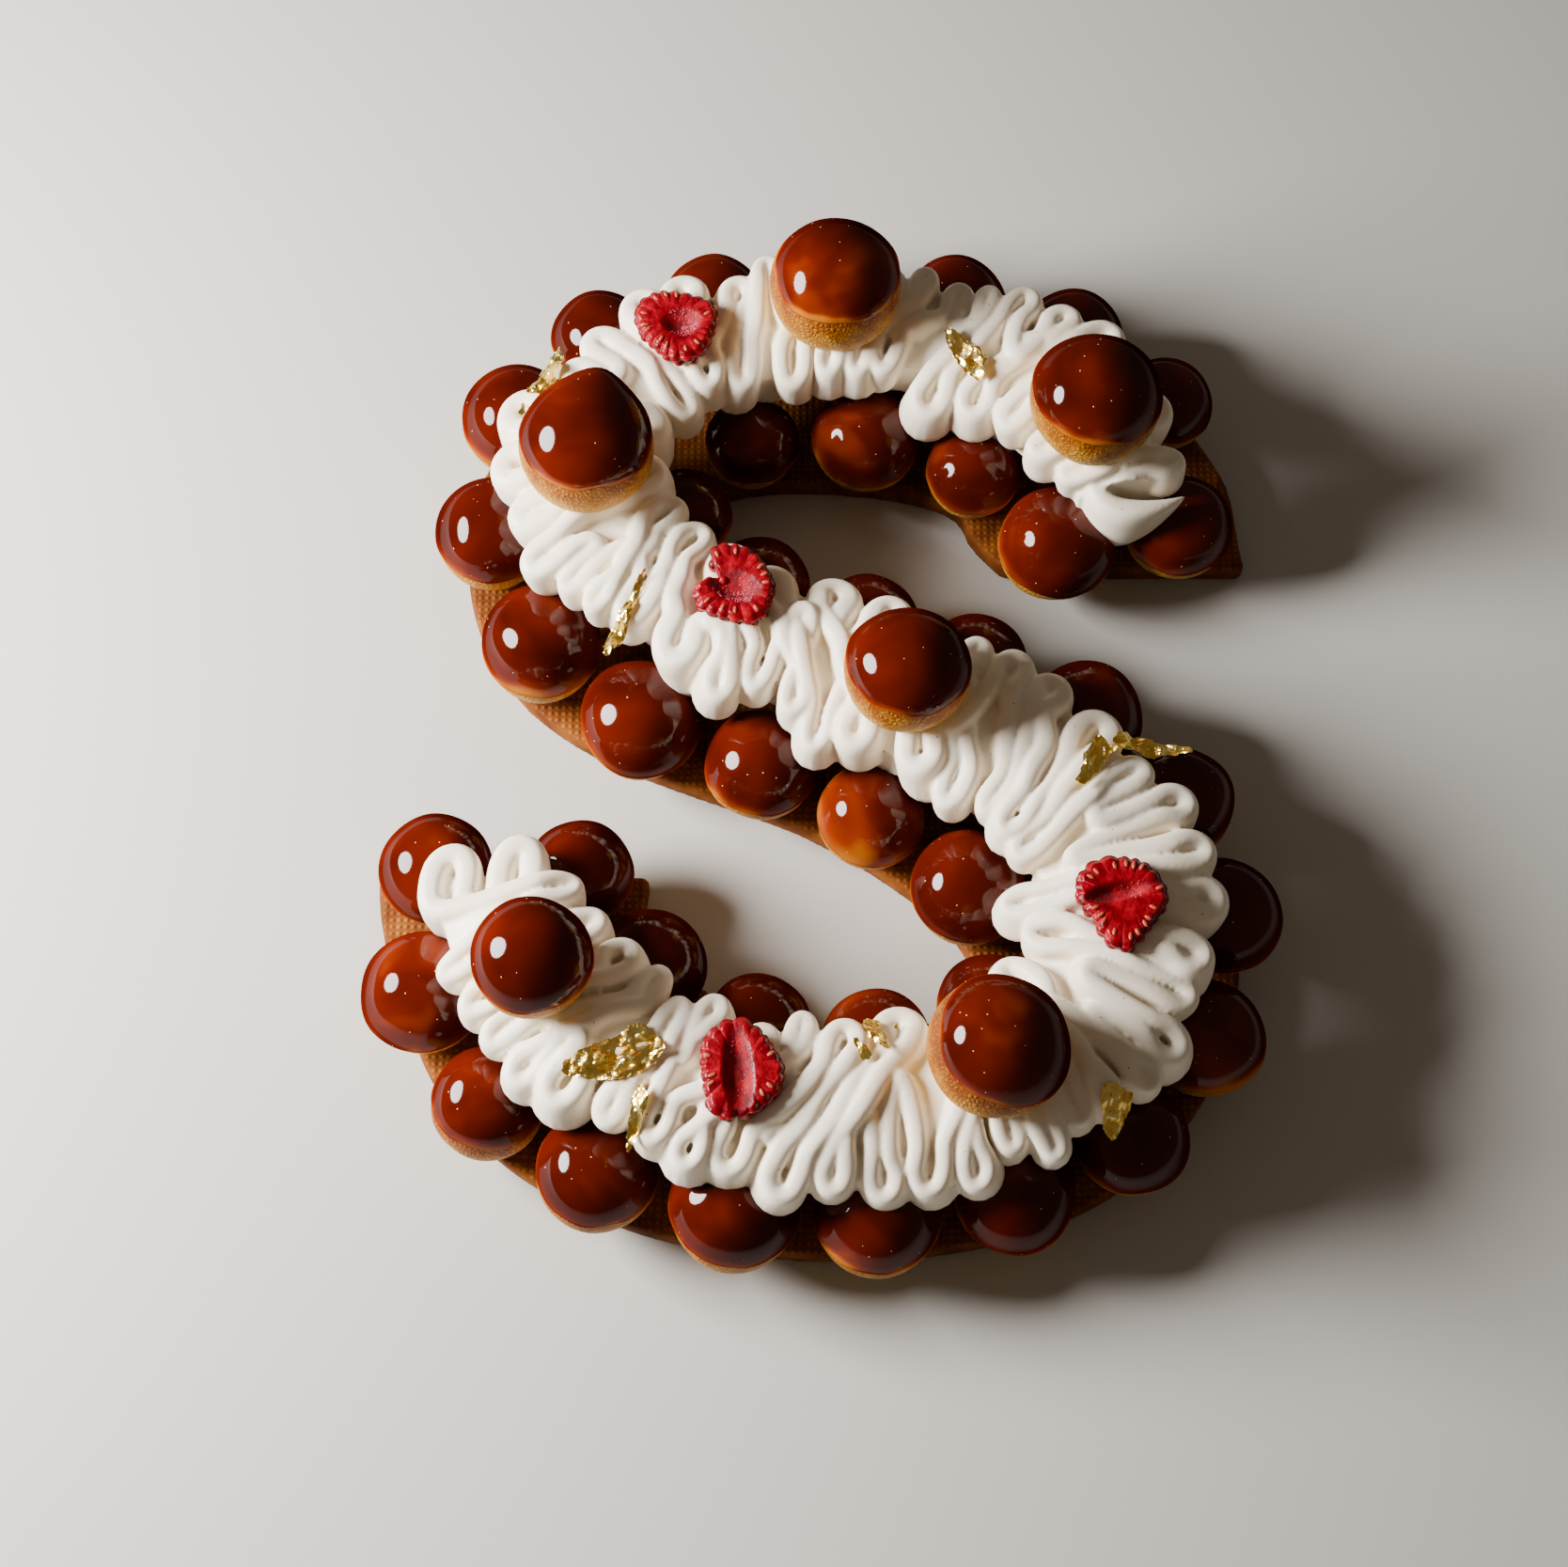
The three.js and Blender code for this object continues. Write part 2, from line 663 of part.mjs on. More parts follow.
const numbered = (name, i) => `${name}_${String(i + 1).padStart(2, "0")}`;
const row = (name, radii, side) =>
  rowPlaces(radii, side).map(({ x, y }, i) => ({
    name: numbered(name, i),
    x,
    y,
    radius: radii[i],
    foot: BASE_THICKNESS + CLEARANCE,
    atEnd: i < ROOMS_AT_ENDS || i >= radii.length - ROOMS_AT_ENDS,
  }));
const rowPuffs = [...row("puff_right", RIGHT_ROW_RADII, -1), ...row("puff_left", LEFT_ROW_RADII, 1)];
const topPuffs = TOP_PUFFS.map(([x, y, radius], i) => ({
  name: numbered("puff_top", i),
  x,
  y,
  radius,
  foot: TOP_PUFF_FOOT,
  atEnd: true,
}));

const rooms = [];
[...rowPuffs, ...topPuffs].forEach(({ name, x, y, radius, foot, atEnd }, key) => {
  add(name, puffGeometry(radius, key), caramel).position.set(x, y, foot);
  if (atEnd) rooms.push(solidFrom(puffRoom(radius, key).translate(x, y, foot)));
});

RASPBERRIES.forEach(([x, y, halfLength, turn], i) => {
  const placed = (geometry) => geometry.rotateZ(turn * DEGREE).translate(x, y, RASPBERRY_FOOT);
  add(numbered("raspberry", i), placed(raspberryGeometry(halfLength)), fruit);
  rooms.push(solidFrom(placed(raspberryGeometry(halfLength, 2 * CLEARANCE))));
});

const piped = solidFrom(loftGeometry(creamRings()));
const cut = rooms.reduce((left, room) => left.subtract(room), piped);
add("piped_cream", geometryFrom(largestPiece(cut)), whipped);

const underLeaves = cake.children.filter((mesh) => mesh.name !== "shortcrust_base");
cake.updateMatrixWorld(true);
GOLD_LEAVES.forEach((leaf, i) => {
  add(numbered("gold_leaf", i), leafGeometry(leaf, i, underLeaves), gold);
});

// The origin is on the surface that the cake lies on, under the middle of its bounding box.
const box = new THREE.Box3().setFromObject(cake);
const middle = box.getCenter(new THREE.Vector3());
cake.position.set(-middle.x, -middle.y, 0);
const part = new THREE.Group();
part.add(cake);

export default part;
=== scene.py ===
# %% [markdown]
# Letter cake.
# A cake in the shape of an S lies flat: a sheet of shortcrust, a row of choux puffs dipped in caramel along
# each edge, whipped cream piped to and fro over their shoulders, and on the cream more puffs, halved
# raspberries and crumpled gold leaf. Every size below is in millimetres, and one factor turns it to metres.

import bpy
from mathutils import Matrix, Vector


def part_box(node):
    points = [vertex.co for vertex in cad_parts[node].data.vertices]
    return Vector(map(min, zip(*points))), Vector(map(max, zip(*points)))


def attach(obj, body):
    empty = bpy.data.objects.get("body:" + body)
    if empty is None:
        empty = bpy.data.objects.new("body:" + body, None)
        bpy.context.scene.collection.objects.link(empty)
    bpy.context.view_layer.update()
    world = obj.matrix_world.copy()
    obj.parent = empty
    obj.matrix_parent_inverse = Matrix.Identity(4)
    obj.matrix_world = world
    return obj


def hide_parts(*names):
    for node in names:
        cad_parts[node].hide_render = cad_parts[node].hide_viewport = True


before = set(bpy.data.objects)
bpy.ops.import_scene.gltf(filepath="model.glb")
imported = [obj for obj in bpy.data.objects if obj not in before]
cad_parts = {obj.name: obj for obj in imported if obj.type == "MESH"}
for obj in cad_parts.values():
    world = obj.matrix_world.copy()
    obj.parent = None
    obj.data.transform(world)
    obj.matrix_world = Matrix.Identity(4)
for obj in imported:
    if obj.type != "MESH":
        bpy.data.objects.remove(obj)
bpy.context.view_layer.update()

# %% Everything else that the cells need
import math
from collections import namedtuple

import bmesh
import bpy
import numpy as np
from mathutils import Matrix, Vector, noise
from mathutils.bvhtree import BVHTree

MM = 0.001
scene = bpy.context.scene
print("a millimetre is", MM, "metres")

# %% [markdown]
# No two puffs or lobes are alike, yet every run has to give the same cake. A sine wave with a huge step
# between its values looks random and needs no seed kept anywhere, so it does the work of a random draw.

# %% A repeatable scatter
def scatter(key, channel):
    """A value between -1 and 1 that depends only on the key and the channel."""
    wave = math.sin(key * 12.9898 + channel * 78.233) * 43758.5453
    return 2 * (wave - math.floor(wave)) - 1


def smooth_rise(low, high, value):
    """Rises smoothly from 0 to 1 as value goes from low to high."""
    part = min(max((value - low) / (high - low), 0), 1)
    return part * part * (3 - 2 * part)


def mix(a, b, part):
    """The value that lies a part of the way from a to b."""
    return a + (b - a) * part


print("scatter", round(scatter(1, 5), 4))

# %% [markdown]
# The camera stands in front of the cake and looks down on it, as someone at a table does. The photograph's
# ellipses of the puffs and the spacing of the rows fit 66 degrees above the table, from 0.8 m away.

# %% Camera
AIM = Vector((-12.62, -19.8, 20)) * MM
ELEVATION = math.radians(66)
DISTANCE = 810 * MM
FOCAL_LENGTH = 60
SENSOR_WIDTH = 36

camera_data = bpy.data.cameras.new("camera")
camera_data.lens = FOCAL_LENGTH
camera_data.sensor_width = SENSOR_WIDTH
camera = bpy.data.objects.new("camera", camera_data)
scene.collection.objects.link(camera)
camera.location = AIM + Vector((0, -math.cos(ELEVATION), math.sin(ELEVATION))) * DISTANCE
camera.rotation_euler = (math.pi / 2 - ELEVATION, 0, 0)
scene.camera = camera
print("camera", [round(v, 3) for v in camera.location])

# %% [markdown]
# Colours are given as they look on a screen, and the renderer wants them linear, so one function turns them.

# %% Colours
def linear(hex_colour):
    """An sRGB hex colour as linear red, green, blue and 1."""
    channels = [int(hex_colour[i : i + 2], 16) / 255 for i in (1, 3, 5)]
    return tuple(c / 12.92 if c < 0.04045 else ((c + 0.055) / 1.055) ** 2.4 for c in channels) + (1,)


print("the white of the cream is", [round(c, 3) for c in linear("#f5ecdb")])

# %% [markdown]
# A material is a net of nodes. They could be linked one by one, but then each finish takes a page to read.
# So one function adds a node with its settings, its inputs and, for a colour ramp, its stops. An input is a
# value or the output of another node. Every pattern is laid out by the place on the piece.

# %% Nodes and materials
def feed(node, inputs):
    """Gives inputs of a node their values, or links them to the outputs of other nodes."""
    for name, value in inputs.items():
        if isinstance(value, bpy.types.NodeSocket):
            node.id_data.links.new(value, node.inputs[name])
        else:
            node.inputs[name].default_value = value


def add_node(material, kind, inputs=None, stops=(), **settings):
    """Adds a node. A stop of a colour ramp is a place and a hex colour."""
    node = material.node_tree.nodes.new(kind)
    for name, value in settings.items():
        setattr(node, name, value)
    feed(node, inputs or {})
    for _ in stops[2:]:
        node.color_ramp.elements.new(0.5)
    for number, (place, colour) in enumerate(stops):
        node.color_ramp.elements[number].position = place
        node.color_ramp.elements[number].color = linear(colour)
    return node


def new_material(name, inputs):
    """A material whose shader has some inputs, the coordinates for its patterns, and the shader itself."""
    material = bpy.data.materials.new(name)
    material.use_nodes = True
    material.node_tree.nodes.clear()
    shader = add_node(material, "ShaderNodeBsdfPrincipled", inputs)
    add_node(material, "ShaderNodeOutputMaterial", {"Surface": shader.outputs[0]})
    place = add_node(material, "ShaderNodeTexCoord").outputs["Object"]
    return material, place, shader


# %% [markdown]
# Each piece is modelled in a bmesh, in metres and in place. One function makes it an object, gives it its
# materials, sets it on the body it rides on and hides the solids it stands for. Two more close a spun shape
# and soften a fresh one.

# %% Turning a bmesh into a piece
def make_piece(name, bm, materials, nodes=(), smooth=True):
    """Makes an object of a bmesh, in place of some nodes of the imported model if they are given."""
    mesh = bpy.data.meshes.new(name)
    for face in bm.faces:
        face.smooth = smooth
    bm.to_mesh(mesh)
    bm.free()
    for material in materials:
        mesh.materials.append(material)
    piece = bpy.data.objects.new(name, mesh)
    scene.collection.objects.link(piece)
    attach(piece, "root")
    if nodes:
        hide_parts(*nodes)


def close_up(bm, tolerance):
    """Merges doubles and turns all faces outwards."""
    bmesh.ops.remove_doubles(bm, verts=bm.verts, dist=tolerance)
    bmesh.ops.recalc_face_normals(bm, faces=bm.faces)


def soften(bm):
    """Draws each vertex half way to the middle of its neighbours."""
    bmesh.ops.smooth_vert(bm, verts=bm.verts, factor=0.5, use_axis_x=True, use_axis_y=True, use_axis_z=True)


# %% [markdown]
# The whole cake follows the stroke of the letter. It could be drawn as an outline, but then every puff and
# lobe would need its own place. Instead a few control points hold the middle line, half the distance between
# the rows and how far the piped passes lean, and a uniform cubic B-spline runs smoothly by them.

# %% The stroke of the letter
# x, y and half the distance between the rows in mm, and how far along a pass runs for each mm across.
STROKE = np.array([
    [98, 88, 20, 0],
    [93, 116, 39, 0.1],
    [72, 141, 29, 0.3],
    [29, 153, 28, 0.3],
    [-38, 154, 27, 0.2],
    [-71, 129, 29, 0],
    [-77, 83, 32, -0.1],
    [-43, 45, 30, -0.4],
    [2, 33, 28, -0.5],
    [55, 6, 33, -0.4],
    [91, -26, 36, 0],
    [91, -77, 31, 0.1],
    [56, -107, 26, 0.4],
    [-5, -111, 26, 0.5],
    [-58, -96, 31, 0.4],
    [-94, -62, 32, 0],
    [-93, -22, 20, 0],
])
STROKE_STEPS = 1600


def sample_stroke():
    """Even samples of the spline by its control points, and the length along it up to each sample."""
    points = np.vstack([2 * STROKE[0] - STROKE[1], STROKE, 2 * STROKE[-1] - STROKE[-2]])
    place = np.linspace(0, len(STROKE) - 1, STROKE_STEPS + 1)
    first = np.minimum(place.astype(int), len(STROKE) - 2)
    u = (place - first)[:, None]
    weights = ((1 - u) ** 3, 3 * u**3 - 6 * u**2 + 4, -3 * u**3 + 3 * u**2 + 3 * u + 1, u**3)
    samples = sum(w * points[first + i] for i, w in enumerate(weights)) / 6
    steps = np.hypot(*np.diff(samples[:, :2], axis=0).T)
    return samples, np.concatenate([[0], np.cumsum(steps)])


samples, lengths = sample_stroke()
stroke_length = lengths[-1]
print("stroke length", round(stroke_length, 2), "mm")

# %% [markdown]
# A place on the cake is then how far it is along the stroke and how far to its left. In a bend the passes
# stand wider apart on the outside than on the inside, and the last function says by how much.

# %% Places along the stroke
# The middle of the cake's box, in the coordinates of the stroke.
BOX_MIDDLE = Vector((3.32, 22.302, 0))
BEND_STEP = 3


def stroke_at(along):
    """x and y in mm, half, lean and the direction at a length along the stroke."""
    low = int(np.clip(np.searchsorted(lengths, along, side="right") - 1, 0, STROKE_STEPS - 1))
    a, b = samples[low], samples[low + 1]
    u = (along - lengths[low]) / (lengths[low + 1] - lengths[low])
    x, y = a[:2] + (b[:2] - a[:2]) * u
    half, lean = a[2:] + (b[2:] - a[2:]) * min(max(u, 0), 1)
    return x, y, half, lean, Vector(b[:2] - a[:2]).normalized()


def plan(along, across):
    """The point at a length along the stroke and a distance to its left, in mm in the cake's frame."""
    x, y, _, _, direction = stroke_at(along)
    return Vector((x - direction.y * across, y + direction.x * across, 0)) - BOX_MIDDLE


def spread_at(along, across):
    """How much wider than on the middle line the passes stand apart at a distance to the left."""
    before, after = stroke_at(along - BEND_STEP)[-1], stroke_at(along + BEND_STEP)[-1]
    return 1 + before.angle_signed(after, 0) / (2 * BEND_STEP) * across


print("the stroke starts at", [round(v, 1) for v in plan(0, 0)])

# %% [markdown]
# A smooth even mesh is often easier to get by drawing it over a rough shape than by building it. The Remesh
# modifier does that on a helper object, which is then removed. The same way gives the mesh of a curve.

# %% An even mesh over a rough shape
def mesh_of(helper):
    """A bmesh of what a helper object shows. The helper itself is removed."""
    shown = helper.evaluated_get(bpy.context.evaluated_depsgraph_get())
    mesh = bpy.data.meshes.new_from_object(shown)
    result = bmesh.new()
    result.from_mesh(mesh)
    bpy.data.objects.remove(helper)
    bpy.data.meshes.remove(mesh)
    return result


def even_mesh(bm, voxel):
    """A bmesh of an even mesh drawn over another one, with the size of its cells in mm."""
    mesh = bpy.data.meshes.new("rough_shape")
    bm.to_mesh(mesh)
    bm.free()
    helper = bpy.data.objects.new("rough_shape", mesh)
    scene.collection.objects.link(helper)
    remesh = helper.modifiers.new("even_mesh", "REMESH")
    remesh.mode = "VOXEL"
    remesh.voxel_size = voxel * MM
    return mesh_of(helper)


print("helpers are ready")

# %% [markdown]
# The base is one sheet of shortcrust, 8 mm thick and baked on a perforated mat. The solid already has its
# outline, so a copy of it is taken: its loose triangles are joined, the bends and the sharp corners of its
# outline are rounded, and then its rims.

# %% Shortcrust base: its form
# Angles in radians: corners of the outline that turn more are sharp, and edges that turn more are rims.
SHARP_CORNER = 0.6
RIM_ANGLE = 1.2
LEAST_UPRIGHT = 5
BEND_SHARE = 46
SHARP_CORNER_ROUND = 2.5
BASE_RIM = 1.3


def copy_of_node(name):
    """A bmesh of a node's solid, with its loose triangles joined and its flat faces made whole."""
    bm = bmesh.new()
    bm.from_mesh(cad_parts[name].data)
    bmesh.ops.remove_doubles(bm, verts=bm.verts, dist=0.001 * MM)
    bmesh.ops.dissolve_limit(bm, angle_limit=math.radians(1), verts=bm.verts, edges=bm.edges)
    return bm


def round_edges(bm, edges, offset, segments, kind="OFFSET"):
    """Rounds edges by an offset in metres, or by a share of the edges beside them in per cent."""
    bmesh.ops.bevel(
        bm,
        geom=edges,
        offset=offset,
        offset_type=kind,
        affect="EDGES",
        segments=segments,
        profile=0.5,
        material=-1,
        clamp_overlap=True,
    )


def corners(bm, sharp):
    """The upright edges of the base, either those of its sharp corners or those of its bends."""
    upright = [e for e in bm.edges if abs(e.verts[0].co.z - e.verts[1].co.z) > LEAST_UPRIGHT * MM]
    return [e for e in upright if (e.calc_face_angle(0) > SHARP_CORNER) == sharp]


base = copy_of_node("shortcrust_base")
round_edges(base, corners(base, False), BEND_SHARE, 6, "PERCENT")
round_edges(base, corners(base, True), SHARP_CORNER_ROUND * MM, 3)
rims = [e for e in base.edges if e.is_manifold and e.calc_face_angle(0) > RIM_ANGLE]
round_edges(base, rims, BASE_RIM * MM, 3)
print("base outline", len(base.faces), "faces")

# %% [markdown]
# Baked dough is never quite flat. An even mesh over the sheet lets its top rise and sink by a quarter of a
# millimetre. Each vertex keeps whether it lies on a flat side, because the mat marks only those.

# %% Shortcrust base: its swelling
BASE_VOXEL = 1.3
BASE_SWELL = 0.25
BASE_SWELL_SPAN = 14

base = even_mesh(base, BASE_VOXEL)
for vert in base.verts:
    share = min(max(vert.co.z / MM, 0), 1)
    vert.co.z += share * BASE_SWELL * MM * noise.noise(vert.co / (BASE_SWELL_SPAN * MM))
soften(base)
base.normal_update()
flatness = base.verts.layers.float.new("flatness")
for vert in base.verts:
    vert[flatness] = smooth_rise(0.5, 0.9, abs(vert.normal.z))
print("base", len(base.faces), "faces")

# %% [markdown]
# Baked shortcrust is matt and even, a warm brown that goes darker where the oven caught it. The mat leaves
# threads and dimples 2.2 mm apart. Cut into the mesh they would need millions of faces, so two crossing
# waves draw them as bumps of a third of a millimetre, and only on the flat sides. The dips of the pattern are
# also drawn darker in the colour, as painted shade, and the sides, which the mat doesn't mark, a plain darker
# brown.

# %% Baked shortcrust
MAT_PITCH = 2.2
MAT_DEPTH = 0.35
TOAST_PATCH = 9
CRUMB = 0.7
# A wave texture has ten waves to each pi of its coordinate.
MAT_WAVE = math.pi / 10 / (MAT_PITCH * MM)

shortcrust, place, shader = new_material("baked_shortcrust", {"Roughness": 0.75, "Specular IOR Level": 0.12})
toast = add_node(
    shortcrust, "ShaderNodeTexNoise", {"Vector": place, "Scale": 1 / (TOAST_PATCH * MM), "Detail": 5}
)
crumb = add_node(shortcrust, "ShaderNodeTexNoise", {"Vector": place, "Scale": 1 / (CRUMB * MM), "Detail": 2})
brown = add_node(
    shortcrust,
    "ShaderNodeValToRGB",
    {"Fac": toast.outputs["Fac"]},
    [(0.3, "#5c2f0e"), (0.5, "#7f4716"), (0.7, "#9a5e22")],
)
net = add_node(shortcrust, "ShaderNodeAttribute", attribute_name="flatness").outputs["Fac"]
for direction in ("X", "Y"):
    threads = add_node(
        shortcrust,
        "ShaderNodeTexWave",
        {"Vector": place, "Scale": MAT_WAVE, "Distortion": 0},
        bands_direction=direction,
    )
    factors = {0: net, 1: threads.outputs["Fac"]}
    net = add_node(shortcrust, "ShaderNodeMath", factors, operation="MULTIPLY").outputs[0]
# Painted shade in the dips of the mat's pattern; on the sides, where the pattern is 0, a plain darker brown.
dimple_shade_and_dark_sides = add_node(shortcrust, "ShaderNodeValToRGB", {"Fac": net}, [(0, "#8a6438"), (0.6, "#ffffff")])
shade = add_node(
    shortcrust,
    "ShaderNodeMix",
    {"Factor": 0.45, "A": brown.outputs["Color"], "B": dimple_shade_and_dark_sides.outputs["Color"]},
    data_type="RGBA",
    blend_type="MULTIPLY",
)
lift = add_node(
    shortcrust, "ShaderNodeMath", {0: crumb.outputs["Fac"], 1: 0.25, 2: net}, operation="MULTIPLY_ADD"
)
bump = add_node(
    shortcrust, "ShaderNodeBump", {"Height": lift.outputs[0], "Distance": MAT_DEPTH * MM, "Strength": 1}
)
feed(shader, {"Base Color": shade.outputs["Result"], "Normal": bump.outputs[0]})
make_piece("baked_base", base, [shortcrust], ["shortcrust_base"])
print("base made")

# %% [markdown]
# A choux puff is a hollow ball that rests on a small flat. It could be a scaled sphere, but a profile spun
# round its upright axis gives the flat foot and the lip of the caramel as well. All sizes in a profile are
# shares of the puff's radius, which comes from the solid that the puff stands for.

# %% Puffs: place and profile
PUFF_HEIGHT = 1.8
PUFF_CENTRE = 0.85
SQUASH = 0.95
# Puffs that came out larger than their solids. Their tops stay, so they sink deeper into the cream.
GROWTH = {
    "puff_top_01": 1.13,
    "puff_top_02": 1.04,
    "puff_top_03": 1.06,
    "puff_top_04": 1.04,
    "puff_top_06": 1.07,
}


def puff_place(node):
    """The foot of a puff's axis and its radius, both from its solid."""
    low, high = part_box(node)
    apex = max((v.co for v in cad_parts[node].data.vertices), key=lambda co: co.z)
    height = (high.z - low.z) * GROWTH.get(node, 1)
    return Vector((apex.x, apex.y, high.z - height)), height / PUFF_HEIGHT


def arc(radius, low, high, count):
    """Points of an arc round the centre of a puff, between two angles above its equator."""
    turns = [math.radians(mix(low, high, i / (count - 1))) for i in range(count)]
    return [(radius * math.cos(t), PUFF_CENTRE + SQUASH * radius * math.sin(t)) for t in turns]


def spin_profile(profile, steps):
    """Spins points of radius and height round the upright axis into a closed solid."""
    bm = bmesh.new()
    verts = [bm.verts.new((radius, 0, height)) for radius, height in profile]
    edges = [bm.edges.new(pair) for pair in zip(verts, verts[1:])]
    bmesh.ops.spin(
        bm,
        geom=verts + edges,
        cent=(0, 0, 0),
        axis=(0, 0, 1),
        angle=2 * math.pi,
        steps=steps,
        use_merge=True,
    )
    close_up(bm, 0.001)
    return bm


puff_nodes = sorted(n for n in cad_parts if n.startswith("puff_"))
print(len(puff_nodes), "puffs")

# %% [markdown]
# No two puffs come out of the oven alike. Slow noise pushes the ball in and out, less near the foot, which
# stays flat. Two of the puffs are drawn out to a blunt peak.

# %% Puffs: their lumps
PUFF_SWELL = 0.04
PUFF_SWELL_SPAN = 0.9
FOOT_FADE = 3
# Turn and rise of the peak in degrees, and how far it stands out in shares of the radius.
PEAKS = {"puff_top_03": (78, 22, 0.13), "puff_left_12": (100, 20, 0.07)}
PEAK_WIDTH = 0.34


def swell(bm, node, key):
    """Puts a puff of radius 1 in its place, at its size, with its lumps and its peak if it has one."""
    foot, radius = puff_place(node)
    centre = Vector((0, 0, PUFF_CENTRE))
    turn, rise, out = PEAKS.get(node, (0, 0, 0))
    peak = Vector((math.cos(math.radians(turn)), math.sin(math.radians(turn)), math.tan(math.radians(rise))))
    for vert in bm.verts:
        lump = noise.noise(vert.co / PUFF_SWELL_SPAN + Vector((7 * key, 0, 0)))
        apart = (vert.co - centre).angle(peak, 0) / PEAK_WIDTH
        push = PUFF_SWELL * lump + out * math.exp(-apart * apart)
        vert.co += (vert.co - centre) * push * min(vert.co.z * FOOT_FADE, 1)
        vert.co = foot + vert.co * radius


print(len(PEAKS), "puffs with a peak")

# %% [markdown]
# The crust of a choux is dry and finely crackled, pale gold low down and browner higher up, near the sugar.
# Each vertex keeps how high it is on its puff as an attribute, so one material fits the puffs of the rows
# and those on top. The cracks are the edges of cells, sunk by a bump and drawn darker as painted shade.

# %% Baked choux
CRACK_SPACING = 1.5
CRACK_DEPTH = 0.7
CRUST_PATCH = 5

choux, place, shader = new_material("baked_choux", {"Roughness": 0.5, "Specular IOR Level": 0.2})
height = add_node(choux, "ShaderNodeAttribute", attribute_name="rise").outputs["Fac"]
patches = add_node(
    choux, "ShaderNodeTexNoise", {"Vector": place, "Scale": 1 / (CRUST_PATCH * MM), "Detail": 4}
)
level = add_node(
    choux, "ShaderNodeMath", {0: patches.outputs["Fac"], 1: 0.5, 2: height}, operation="MULTIPLY_ADD"
)
gold = add_node(
    choux,
    "ShaderNodeValToRGB",
    {"Fac": level.outputs[0]},
    [(0.32, "#dcb458"), (0.5, "#cf9f3c"), (0.66, "#b98222"), (0.8, "#9a5c0c"), (0.95, "#7a3a04")],
)
cracks = add_node(
    choux,
    "ShaderNodeTexVoronoi",
    {"Vector": place, "Scale": 1 / (CRACK_SPACING * MM)},
    feature="DISTANCE_TO_EDGE",
).outputs["Distance"]
# Painted shade: the cracks are darkened in the colour, as the shade in them would look.
crack_shade = add_node(choux, "ShaderNodeValToRGB", {"Fac": cracks}, [(0, "#8a5a2a"), (0.22, "#ffffff")])
shade = add_node(
    choux,
    "ShaderNodeMix",
    {"Factor": 0.5, "A": gold.outputs["Color"], "B": crack_shade.outputs["Color"]},
    data_type="RGBA",
    blend_type="MULTIPLY",
)
bump = add_node(choux, "ShaderNodeBump", {"Height": cracks, "Distance": CRACK_DEPTH * MM, "Strength": 1})
feed(shader, {"Base Color": shade.outputs["Result"], "Normal": bump.outputs[0]})
print("choux crust")

# %% [markdown]
# Caramel is boiled sugar that sets as a clear brown glass. Real glass over the crust would be slow to render
# and noisy, so the shell is opaque, as dark as the sugar looks, with slow clouds of a lighter brown, amber
# where it runs out thin, and painted glints: pale dots in its colour that stand in for the light caught by
# bubbles set in it. Low at the sides it loses its gloss, since a pale floor would mirror there as a milky rim.

# %% Hard caramel
CARAMEL_GLOSS = 0.22
SYRUP_CLOUD = 26
GLINT_SPACING = 3.6
GLINT_SIZE = 0.045

caramel, place, shader = new_material(
    "hard_caramel", {"Roughness": 0.06, "Specular IOR Level": CARAMEL_GLOSS}
)
thin = add_node(caramel, "ShaderNodeAttribute", attribute_name="thin").outputs["Fac"]
clouds = add_node(
    caramel,
    "ShaderNodeTexNoise",
    {"Vector": place, "Scale": 1 / (SYRUP_CLOUD * MM), "Detail": 2, "Distortion": 0.5},
)
depth = add_node(
    caramel, "ShaderNodeMath", {0: thin, 1: 0.3, 2: clouds.outputs["Fac"]}, operation="MULTIPLY_ADD"
)
syrup = add_node(
    caramel,
    "ShaderNodeValToRGB",
    {"Fac": depth.outputs[0]},
    [(0.3, "#300501"), (0.46, "#400901"), (0.6, "#4e0f02"), (0.74, "#6e2205"), (0.9, "#b0620e")],
)
# Painted glints: pale dots in the colour stand in for the light caught by bubbles in the sugar.
glint_cells = add_node(caramel, "ShaderNodeTexVoronoi", {"Vector": place, "Scale": 1 / (GLINT_SPACING * MM)})
painted_glint = add_node(
    caramel, "ShaderNodeMath", {0: glint_cells.outputs["Distance"], 1: GLINT_SIZE}, operation="LESS_THAN"
)
shade = add_node(
    caramel,
    "ShaderNodeMix",
    {"Factor": painted_glint.outputs[0], "A": syrup.outputs["Color"], "B": linear("#ffd9a8")},
    data_type="RGBA",
)
edge = add_node(caramel, "ShaderNodeLayerWeight", {"Blend": 0.5}).outputs["Facing"]
gloss = add_node(
    caramel,
    "ShaderNodeMapRange",
    {"Value": edge, "From Min": 0.3, "From Max": 0.62, "To Min": CARAMEL_GLOSS, "To Max": 0},
)
feed(shader, {"Base Color": shade.outputs["Result"], "Specular IOR Level": gloss.outputs[0]})
print("caramel")

# %% [markdown]
# Each puff was dipped upside down in the boiling sugar, and no two quite alike: the lip of the shell lies
# high or low, and most shells lean away from the front left, where more crust shows. A few were judged,
# and a scatter gives the rest.

# %% How the puffs were dipped
CARAMEL_LIP = -6
CARAMEL_LEAN = 7
CARAMEL_LEAN_SCATTER = 4
LEAN_TOWARDS = 50
LEAN_TOWARDS_SCATTER = 60
THIN_RUN = 26
